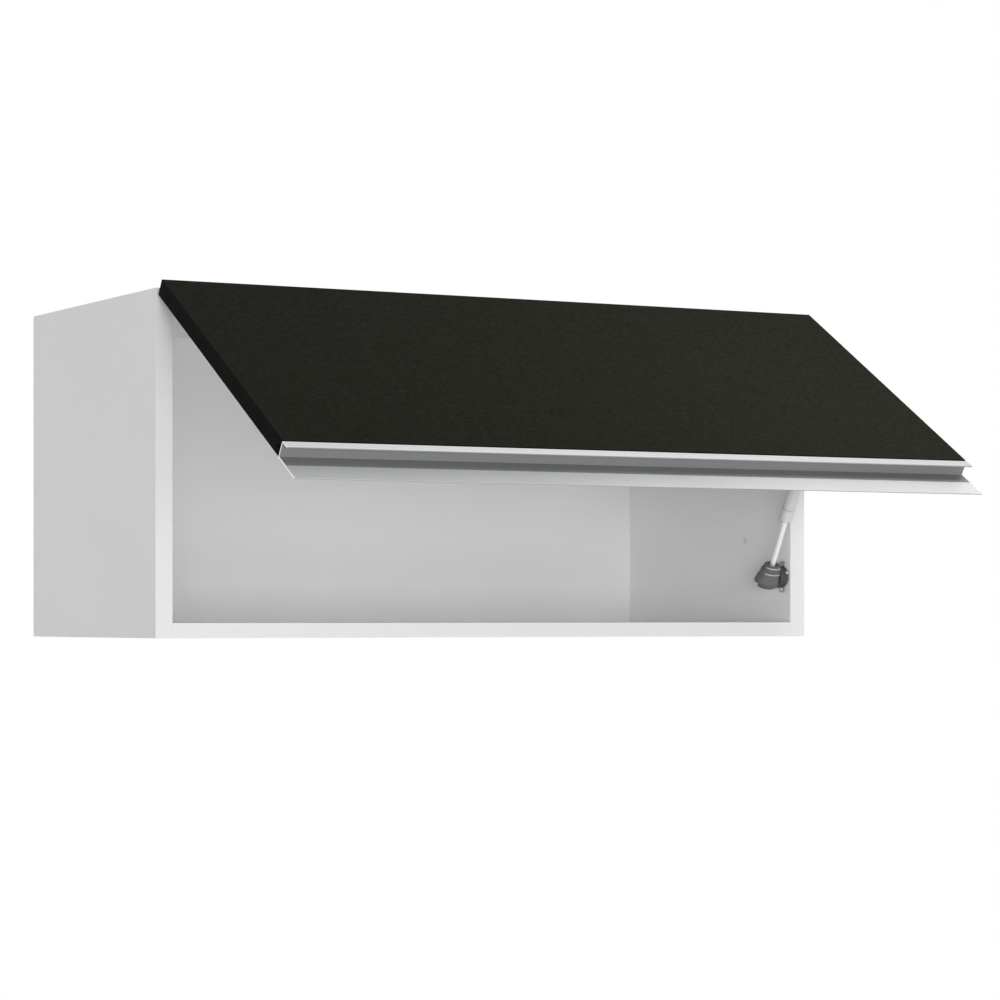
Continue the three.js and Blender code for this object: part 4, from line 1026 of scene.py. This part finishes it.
HOOD_HALF_WIDTH = 17 * MM
HOOD_HALF_DEPTH = 12.5 * MM
HOOD_TOP_HALF_WIDTH = 9.5 * MM
HOOD_TOP_HALF_DEPTH = 8.5 * MM
HOOD_BRIM_AT = -5 * MM
HOOD_WALL_SIDE = 17.2 * MM
HUB_RADIUS = 12.6 * MM
HUB_FROM = 8 * MM
HUB_TO = 18.6 * MM
RIB_AT = 4.6 * MM
RIB_HALF = (0.5 * MM, 0.9 * MM)
RIB_FROM = -11 * MM
RIB_TO = 13 * MM


def hood_flank(height, proud=0.0):
    """(height, half width, half depth) of the hood's sloping side, and proud of it."""
    share = (height - HOOD_BRIM_AT) / (HOOD_ABOVE - HOOD_BRIM_AT)
    half_wide = HOOD_HALF_WIDTH + (HOOD_TOP_HALF_WIDTH - HOOD_HALF_WIDTH) * share
    half_deep = HOOD_HALF_DEPTH + (HOOD_TOP_HALF_DEPTH - HOOD_HALF_DEPTH) * share
    return height, half_wide + proud, half_deep + proud


def hood_sections():
    """(height, width, depth) of the hood's outside from its low end up, then of its rod seat."""
    wide, deep = HOOD_HALF_WIDTH, HOOD_HALF_DEPTH
    low = -HOOD_BELOW
    base = ((0, 0.50), (0.3, 0.60), (1.8, 0.73), (4, 0.82), (6, 0.865), (6.7, 0.88), (6.8, 0.965))
    sections = [(low + height * MM, share * wide, share * deep) for height, share in base]
    sections.append((low + 7.1 * MM, wide, deep))
    sections.append(hood_flank(HOOD_BRIM_AT))
    for rim, proud in ((1.2 * MM, 0.35 * MM), (9.0 * MM, 0.7 * MM)):
        sections += [hood_flank(rim), hood_flank(rim + 0.15 * MM, proud), hood_flank(rim + 1.1 * MM, proud)]
        sections.append(hood_flank(rim + 1.3 * MM, -0.2 * MM))
    sections += [hood_flank(HOOD_ABOVE - 0.5 * MM), hood_flank(HOOD_ABOVE - 0.1 * MM, -0.3 * MM)]
    sections.append(hood_flank(HOOD_ABOVE, -0.6 * MM))
    seat = ROD_RADIUS + 0.3 * MM
    sections += [(HOOD_ABOVE, 0.72 * HOOD_TOP_HALF_WIDTH, 0.68 * HOOD_TOP_HALF_DEPTH)]
    sections += [(HOOD_ABOVE - 3 * MM, 0.6 * HOOD_TOP_HALF_WIDTH, 0.6 * HOOD_TOP_HALF_DEPTH)]
    sections += [(HOOD_ABOVE - 3 * MM, seat, seat), (6 * MM, seat, seat)]
    return sections


def make_strut_hood():
    """The plastic hood over the ball, with two ribs and the hub at the wall's side, whose near-black tone
    is painted shade.
    """
    bm = bmesh.new()
    steps = 72
    rings = []
    for height, half_wide, half_deep in hood_sections():
        ring = []
        for step in range(steps):
            angle = 2 * math.pi * step / steps
            x = min(half_wide * math.cos(angle), HOOD_WALL_SIDE)
            ring.append(bm.verts.new(STRUT_FRAME @ Vector((x, half_deep * math.sin(angle), height))))
        rings.append(ring)
    skin(bm, rings)
    bm.faces.new(rings[0][::-1])
    bm.faces.new(rings[-1])
    hood_faces = len(bm.faces)
    hub = circle((0, 0), HUB_RADIUS, 64)
    plate(bm, hub, HUB_FROM, HUB_TO, "x", 0.8 * MM, turn=STRUT_FRAME)
    # The hub's faces take the near-black finish, a painted shade for the shadow at the wall's side.
    bm.faces.ensure_lookup_table()
    for face in bm.faces[hood_faces:]:
        face.material_index = 1
    half_wide, half_deep = RIB_HALF
    rib = rectangle(-half_deep, half_deep, RIB_FROM, RIB_TO, 0.4 * MM)
    for x in (-RIB_AT, RIB_AT):
        plate(bm, rib, x - half_wide, x + half_wide, "x", 0.2 * MM, steps=2, turn=STRUT_FRAME)
    finishes = [DARK_PLASTIC, HUB_PAINTED_SHADE]
    finished("strut_foot_hood", bm, finishes, "strut_lower", "dark_plastic", ("strut_foot_socket",))


TABS = (
    (-14.4 * MM, 0, -8.4 * MM),
    (15.4 * MM, -9.6 * MM, 10.2 * MM),
    (14.2 * MM, -9.2 * MM, -10.6 * MM),
)
TAB_HALF = (1.2 * MM, 2 * MM, 0.9 * MM)
# (height, start angle, end angle) of the white wires: painted highlights on the hood's front.
HIGHLIGHT_WIRES = ((13.2 * MM, 205, 320), (6.2 * MM, 215, 315))
HIGHLIGHT_WIRE_HEIGHT = 0.8 * MM
HIGHLIGHT_WIRE_PROUD = 0.45 * MM
HIGHLIGHT_WIRE_SUNK = 0.5 * MM


def make_clip():
    """Two white wires round the hood's front, painted highlights for the light arcs on its rims, and the
    tabs they end in.
    """
    bm = bmesh.new()
    half_x, half_y, half_z = TAB_HALF
    for x, y, z in TABS:
        tab = rectangle(x - half_x, x + half_x, y - half_y, y + half_y, 0.7 * MM)
        plate(bm, tab, z - half_z, z + half_z, "z", 0.4 * MM, turn=STRUT_FRAME)
    for height, start, end in HIGHLIGHT_WIRES:
        _, half_wide, half_deep = hood_flank(height)
        highlight_wire = []
        for proud, way in ((HIGHLIGHT_WIRE_PROUD, 1), (-HIGHLIGHT_WIRE_SUNK, -1)):
            spokes = arc((0, 0), 1, start, end, 32)[::way]
            highlight_wire += [((half_wide + proud) * x, (half_deep + proud) * y) for x, y in spokes]
        plate(bm, highlight_wire, height, height + HIGHLIGHT_WIRE_HEIGHT, "z", 0.15 * MM, steps=2, turn=STRUT_FRAME)
    finished("strut_foot_clip", bm, [WHITE_PAINT], "strut_lower", "white_steel")


FOOT_FACE = INNER_X - 2.5 * MM
FOOT_END_HALF = 5 * MM
FOOT_END_REACH = 18 * MM
FOOT_MIDDLE_HALF = 8.5 * MM
FOOT_MIDDLE_REACH = 5 * MM
FOOT_SCREW_REACH = 12.5 * MM
FOOT_SCREWS = {"lower": STRUT_FOOT.z - FOOT_SCREW_REACH, "upper": STRUT_FOOT.z + FOOT_SCREW_REACH}
SCREW_HOLE_RADIUS = 1.7 * MM
BALL_RADIUS = 5 * MM
BALL_NECK_RADIUS = 2.5 * MM
BALL_PIN_RADIUS = 3 * MM
BALL_PIN_END = 19.7 * MM


def bore(place, radius, steps=24):
    """A round hole through a plate."""
    return circle(place, radius, steps), "through", 0


def foot_corners():
    """The wall plate's outline in (y, z): an oval that narrows to its ends."""
    corners = []
    for way_y, way_z in ((1, -1), (1, 1), (-1, 1), (-1, -1)):
        y, z = STRUT_FOOT.y, STRUT_FOOT.z
        end = (y + way_y * FOOT_END_HALF, z + way_z * FOOT_END_REACH, 3 * MM)
        middle = (y + way_y * FOOT_MIDDLE_HALF, z + way_z * FOOT_MIDDLE_REACH, 4 * MM)
        corners += [end, middle] if way_y * way_z < 0 else [middle, end]
    return corners


def make_strut_foot():
    """The wall plate, the ball stud that it carries and its two screws."""
    y, z = STRUT_FOOT.y, STRUT_FOOT.z
    holes = [bore((y, z), 3.1 * MM, 32)]
    holes += [bore((y, height), SCREW_HOLE_RADIUS) for height in FOOT_SCREWS.values()]
    bm = bmesh.new()
    outline = filleted(foot_corners())
    plate(bm, outline, FOOT_FACE, INNER_X, "x", 0.5 * MM, holes, hole_rounding=0.1 * MM)
    finished("strut_wall_plate", bm, [GREY_PLASTIC], "carcass", "pale_plastic", ("strut_wall_bracket",))

    neck, pin, end = BALL_NECK_RADIUS, BALL_PIN_RADIUS, BALL_PIN_END
    profile = [(0, -BALL_RADIUS), *arc((0, 0), BALL_RADIUS, -90, 60, 20)[1:]]
    profile += [(neck, 4.9 * MM), (neck, 9 * MM), (pin, 9.6 * MM), (pin, end - 0.2 * MM)]
    profile += [(pin - 0.2 * MM, end), (0, end)]
    told = ([ZINC], "carcass", "zinc", ("strut_wall_ball_stud",))
    lathe("strut_wall_ball", profile, 64, facing("+x", *STRUT_FOOT), *told)

    for name, height in FOOT_SCREWS.items():
        make_screw(f"strut_wall_screw_{name}", facing("-x", FOOT_FACE, y, height), "carcass")


def make_screw(node, turn, body):
    """A round head screw whose head sits on that frame's origin."""
    bm = bmesh.new()
    thread(bm, 1.6 * MM, -13 * MM, 0.1 * MM, turn)
    screw_head(bm, 3.2 * MM, 1.8 * MM, turn)
    if body == "door":
        opened(bm)
    finished(f"{node}_steel", bm, [ZINC], body, "zinc", (node,))


HEAD_Y = DOOR_BACK + 28 * MM
HEAD_Z = DOOR_TOP - 120 * MM
BRACKET_HALF = 18 * MM
BRACKET_WIDTH = 28 * MM
BRACKET_THICKNESS = 2.5 * MM
BRACKET_FACE = DOOR_BACK + BRACKET_THICKNESS
BRACKET_SCREW_X = STRUT_FOOT.x - 11 * MM / 3
BRACKET_SCREW_REACH = BRACKET_HALF - 5.2 * MM
BRACKET_SCREWS = {"lower": HEAD_Z - BRACKET_SCREW_REACH, "upper": HEAD_Z + BRACKET_SCREW_REACH}
EAR_X = STRUT_FOOT.x + 11 * MM
EAR_FAR_X = EAR_X + BRACKET_THICKNESS
EAR_RADIUS = 7 * MM
STUD_RADIUS = 4 * MM
STUD_START = 8.1 * MM
STUD_END = 13.2 * MM


def make_door_bracket():
    """The angle bracket on the door with its stud and screws, drawn in the closed door."""
    seat, far = DOOR_BACK + FIT_GAP, EAR_FAR_X
    near = far - BRACKET_WIDTH
    low, high = HEAD_Z - BRACKET_HALF, HEAD_Z + BRACKET_HALF
    corners = [(near, low, 3 * MM), (far, low, 0.4 * MM), (far, high, 0.4 * MM), (near, high, 3 * MM)]
    holes = [bore((BRACKET_SCREW_X, height), SCREW_HOLE_RADIUS) for height in BRACKET_SCREWS.values()]
    bm = bmesh.new()
    plate(bm, filleted(corners), seat, BRACKET_FACE, "y", 0.25 * MM, holes, hole_rounding=0.1 * MM)
    ear = [(seat, low), *arc((HEAD_Y, HEAD_Z), EAR_RADIUS, -60, 60, 16), (seat, high)]
    plate(bm, ear, EAR_X, far, "x", 0.25 * MM)
    stud = [(0, STUD_START), (STUD_RADIUS - 0.2 * MM, STUD_START), (STUD_RADIUS, STUD_START + 0.2 * MM)]
    stud += [(STUD_RADIUS, STUD_END), (0, STUD_END)]
    turned(bm, stud, 48, facing("+x", STRUT_FOOT.x, HEAD_Y, HEAD_Z))
    finished("strut_door_angle", opened(bm), [ZINC], "door", "zinc", ("strut_door_bracket",))
    for name, height in BRACKET_SCREWS.items():
        make_screw(f"strut_door_screw_{name}", facing("+y", BRACKET_SCREW_X, BRACKET_FACE, height), "door")


def make_strut_eye():
    """The plastic eye at the strut's upper end, beside the bracket's stud, and its neck into the tube."""
    bm = bmesh.new()
    middle = (0, STRUT_LENGTH)
    dimple = (circle(middle, DIMPLE_RADIUS, 40), "low", DIMPLE_DEPTH)
    eye = circle(middle, EYE_RADIUS, 64)
    plate(bm, eye, -EYE_HALF_WIDTH, EYE_HALF_WIDTH, "x", 0.9 * MM, [dimple], 4, STRUT_FRAME, 0.3 * MM)
    start = TUBE_END + FIT_GAP
    end = start + NECK_LENGTH + 1 * MM
    neck = [(0, start), (4.7 * MM, start), (5 * MM, start + 0.3 * MM), (5 * MM, start + 1.4 * MM)]
    neck += [(NECK_RADIUS, start + 5 * MM), (NECK_RADIUS, end), (0, end)]
    turned(bm, neck, 48, STRUT_FRAME)
    finished("strut_head_eye", bm, [DARK_PLASTIC], "strut_upper", "dark_plastic", ("strut_head_socket",))


def make_piston():
    softened("strut_piston_disc", "strut_piston", 0.3 * MM, 0.3 * MM, [ZINC], "strut_lower", "zinc")


# ---- stage, light and camera

FLOOR_BELOW = 1.3
FLOOR_RADIUS = 3.2
FADE_FROM = 0.35 * FLOOR_RADIUS
FADE_TO = 0.95 * FLOOR_RADIUS
AMBIENT = 0.35
CAMERA_PLACE = (-1.65243, -3.39310, -0.15786)
CAMERA_YAW = math.radians(28.62)
CAMERA_LENS = 114.457
SENSOR_WIDTH = 36.0
CAMERA_RISE = 0.1168


def seen_white(nodes, links):
    """1 for what the camera sees directly, mirrored or through glass, and 0 for light on surfaces."""
    path = nodes.new("ShaderNodeLightPath")
    seen = path.outputs["Is Camera Ray"]
    for ray in ("Is Glossy Ray", "Is Transmission Ray"):
        either = nodes.new("ShaderNodeMath")
        either.operation = "MAXIMUM"
        links.new(seen, either.inputs[0])
        links.new(path.outputs[ray], either.inputs[1])
        seen = either.outputs[0]
    return seen


def make_world():
    world = bpy.data.worlds.new("plain_white")
    bpy.context.scene.world = world
    world.use_nodes = True
    nodes, links = world.node_tree.nodes, world.node_tree.links
    background = nodes["Background"]
    background.inputs["Color"].default_value = (1, 1, 1, 1)
    strength = shader_node(nodes, "MapRange", To_Min=AMBIENT, To_Max=1.0)
    links.new(seen_white(nodes, links), strength.inputs["Value"])
    links.new(strength.outputs["Result"], background.inputs["Strength"])


def make_floor():
    bm = bmesh.new()
    bmesh.ops.create_circle(bm, cap_ends=True, segments=128, radius=FLOOR_RADIUS)
    mesh = bpy.data.meshes.new("floor")
    bm.to_mesh(mesh)
    bm.free()
    floor = bpy.data.objects.new("floor", mesh)
    floor.location = (0, (FRONT + BACK_HIGH.y) / 2, BOTTOM - FLOOR_BELOW)
    bpy.context.scene.collection.objects.link(floor)
    finish = Finish("pale_floor", 0.7, specular=0.2)
    mottled(finish, (0.80, 0.80, 0.80), 0.01, 4)
    mesh.materials.append(finish.material)
    nodes, links = finish.nodes, finish.links
    length = nodes.new("ShaderNodeVectorMath")
    length.operation = "LENGTH"
    links.new(finish.place, length.inputs[0])
    fade = shader_node(nodes, "MapRange", From_Min=FADE_FROM, From_Max=FADE_TO)
    links.new(length.outputs["Value"], fade.inputs["Value"])
    white = nodes.new("ShaderNodeEmission")
    share = nodes.new("ShaderNodeMath")
    share.operation = "MULTIPLY"
    links.new(fade.outputs["Result"], share.inputs[0])
    links.new(seen_white(nodes, links), share.inputs[1])
    mix = nodes.new("ShaderNodeMixShader")
    links.new(share.outputs[0], mix.inputs["Fac"])
    links.new(finish.shader.outputs[0], mix.inputs[1])
    links.new(white.outputs[0], mix.inputs[2])
    links.new(mix.outputs[0], nodes["Material Output"].inputs["Surface"])


def area_light(name, place, target, size, radiance, in_gloss):
    """A soft box. radiance is the brightness of its face, where 1 looks white."""
    light = bpy.data.lights.new(name, "AREA")
    light.shape = "RECTANGLE"
    light.size, light.size_y = size
    light.energy = radiance * math.pi * size[0] * size[1]
    lamp = bpy.data.objects.new(name, light)
    lamp.location = place
    lamp.rotation_euler = (Vector(target) - Vector(place)).to_track_quat("-Z", "Y").to_euler()
    lamp.visible_camera = False
    lamp.visible_glossy = in_gloss
    bpy.context.scene.collection.objects.link(lamp)


def make_camera():
    camera = bpy.data.objects.new("camera", bpy.data.cameras.new("camera"))
    camera.data.sensor_width = SENSOR_WIDTH
    camera.data.lens = CAMERA_LENS
    camera.data.shift_y = CAMERA_RISE
    camera.location = CAMERA_PLACE
    camera.rotation_euler = (math.pi / 2, 0, -CAMERA_YAW)
    bpy.context.scene.collection.objects.link(camera)
    bpy.context.scene.camera = camera


FRONT_CENTRE = (0, -0.3, -0.05)
LEFT_CENTRE = (-0.4, -0.2, 0)
LEFT_REAR = (-0.4, -0.3, 0)
INSIDE = (0, -0.2, 0)
DOOR_CENTRE = (0, -0.5, 0)
GRIP_RIGHT = (0.36, -0.65, -0.07)
WIDE_BOX = (1.4, 0.7)
LARGE_BOX = (2.0, 1.6)

# name, place, what it faces, its size, the brightness of its face and whether mirrors show it
LAMPS = (
    ("front_left", (-1.3, -3.6, -0.25), FRONT_CENTRE, WIDE_BOX, 10.4, False),
    ("front_middle", (-0.7, -3.6, 0.12), FRONT_CENTRE, (1.4, 0.5), 8.2, False),
    ("far_left", (-2.4, -3.0, -0.2), FRONT_CENTRE, WIDE_BOX, 2.0, False),
    ("far_right", (2.4, -3.0, -0.2), FRONT_CENTRE, WIDE_BOX, 1.5, False),
    ("under", (0, -2.4, -0.75), INSIDE, (1.8, 0.5), 3.7, False),
    ("left_side", (-3.2, -0.4, 0.2), LEFT_CENTRE, LARGE_BOX, 0.35, False),
    ("left_back", (-0.75, 0.95, 0.1), LEFT_REAR, (0.5, 0.8), 0.8, True),
    ("top_right", (1.6, 0.4, 2.1), DOOR_CENTRE, LARGE_BOX, 0.5, True),
    ("above_right", (0.36, -0.85, 0.5), GRIP_RIGHT, (0.25, 0.25), 17.0, False),
)

make_camera()
make_world()
make_floor()
for lamp_settings in LAMPS:
    area_light(*lamp_settings)
make_boards()
make_back()
make_fittings()
make_profile()
make_door()
make_buffers()
make_strut_tube()
make_strut_rod()
make_strut_hood()
make_clip()
make_strut_foot()
make_door_bracket()
make_strut_eye()
make_piston()
make_hangers()
make_hinges()
make_plug()

bpy.context.scene.view_settings.view_transform = "Standard"
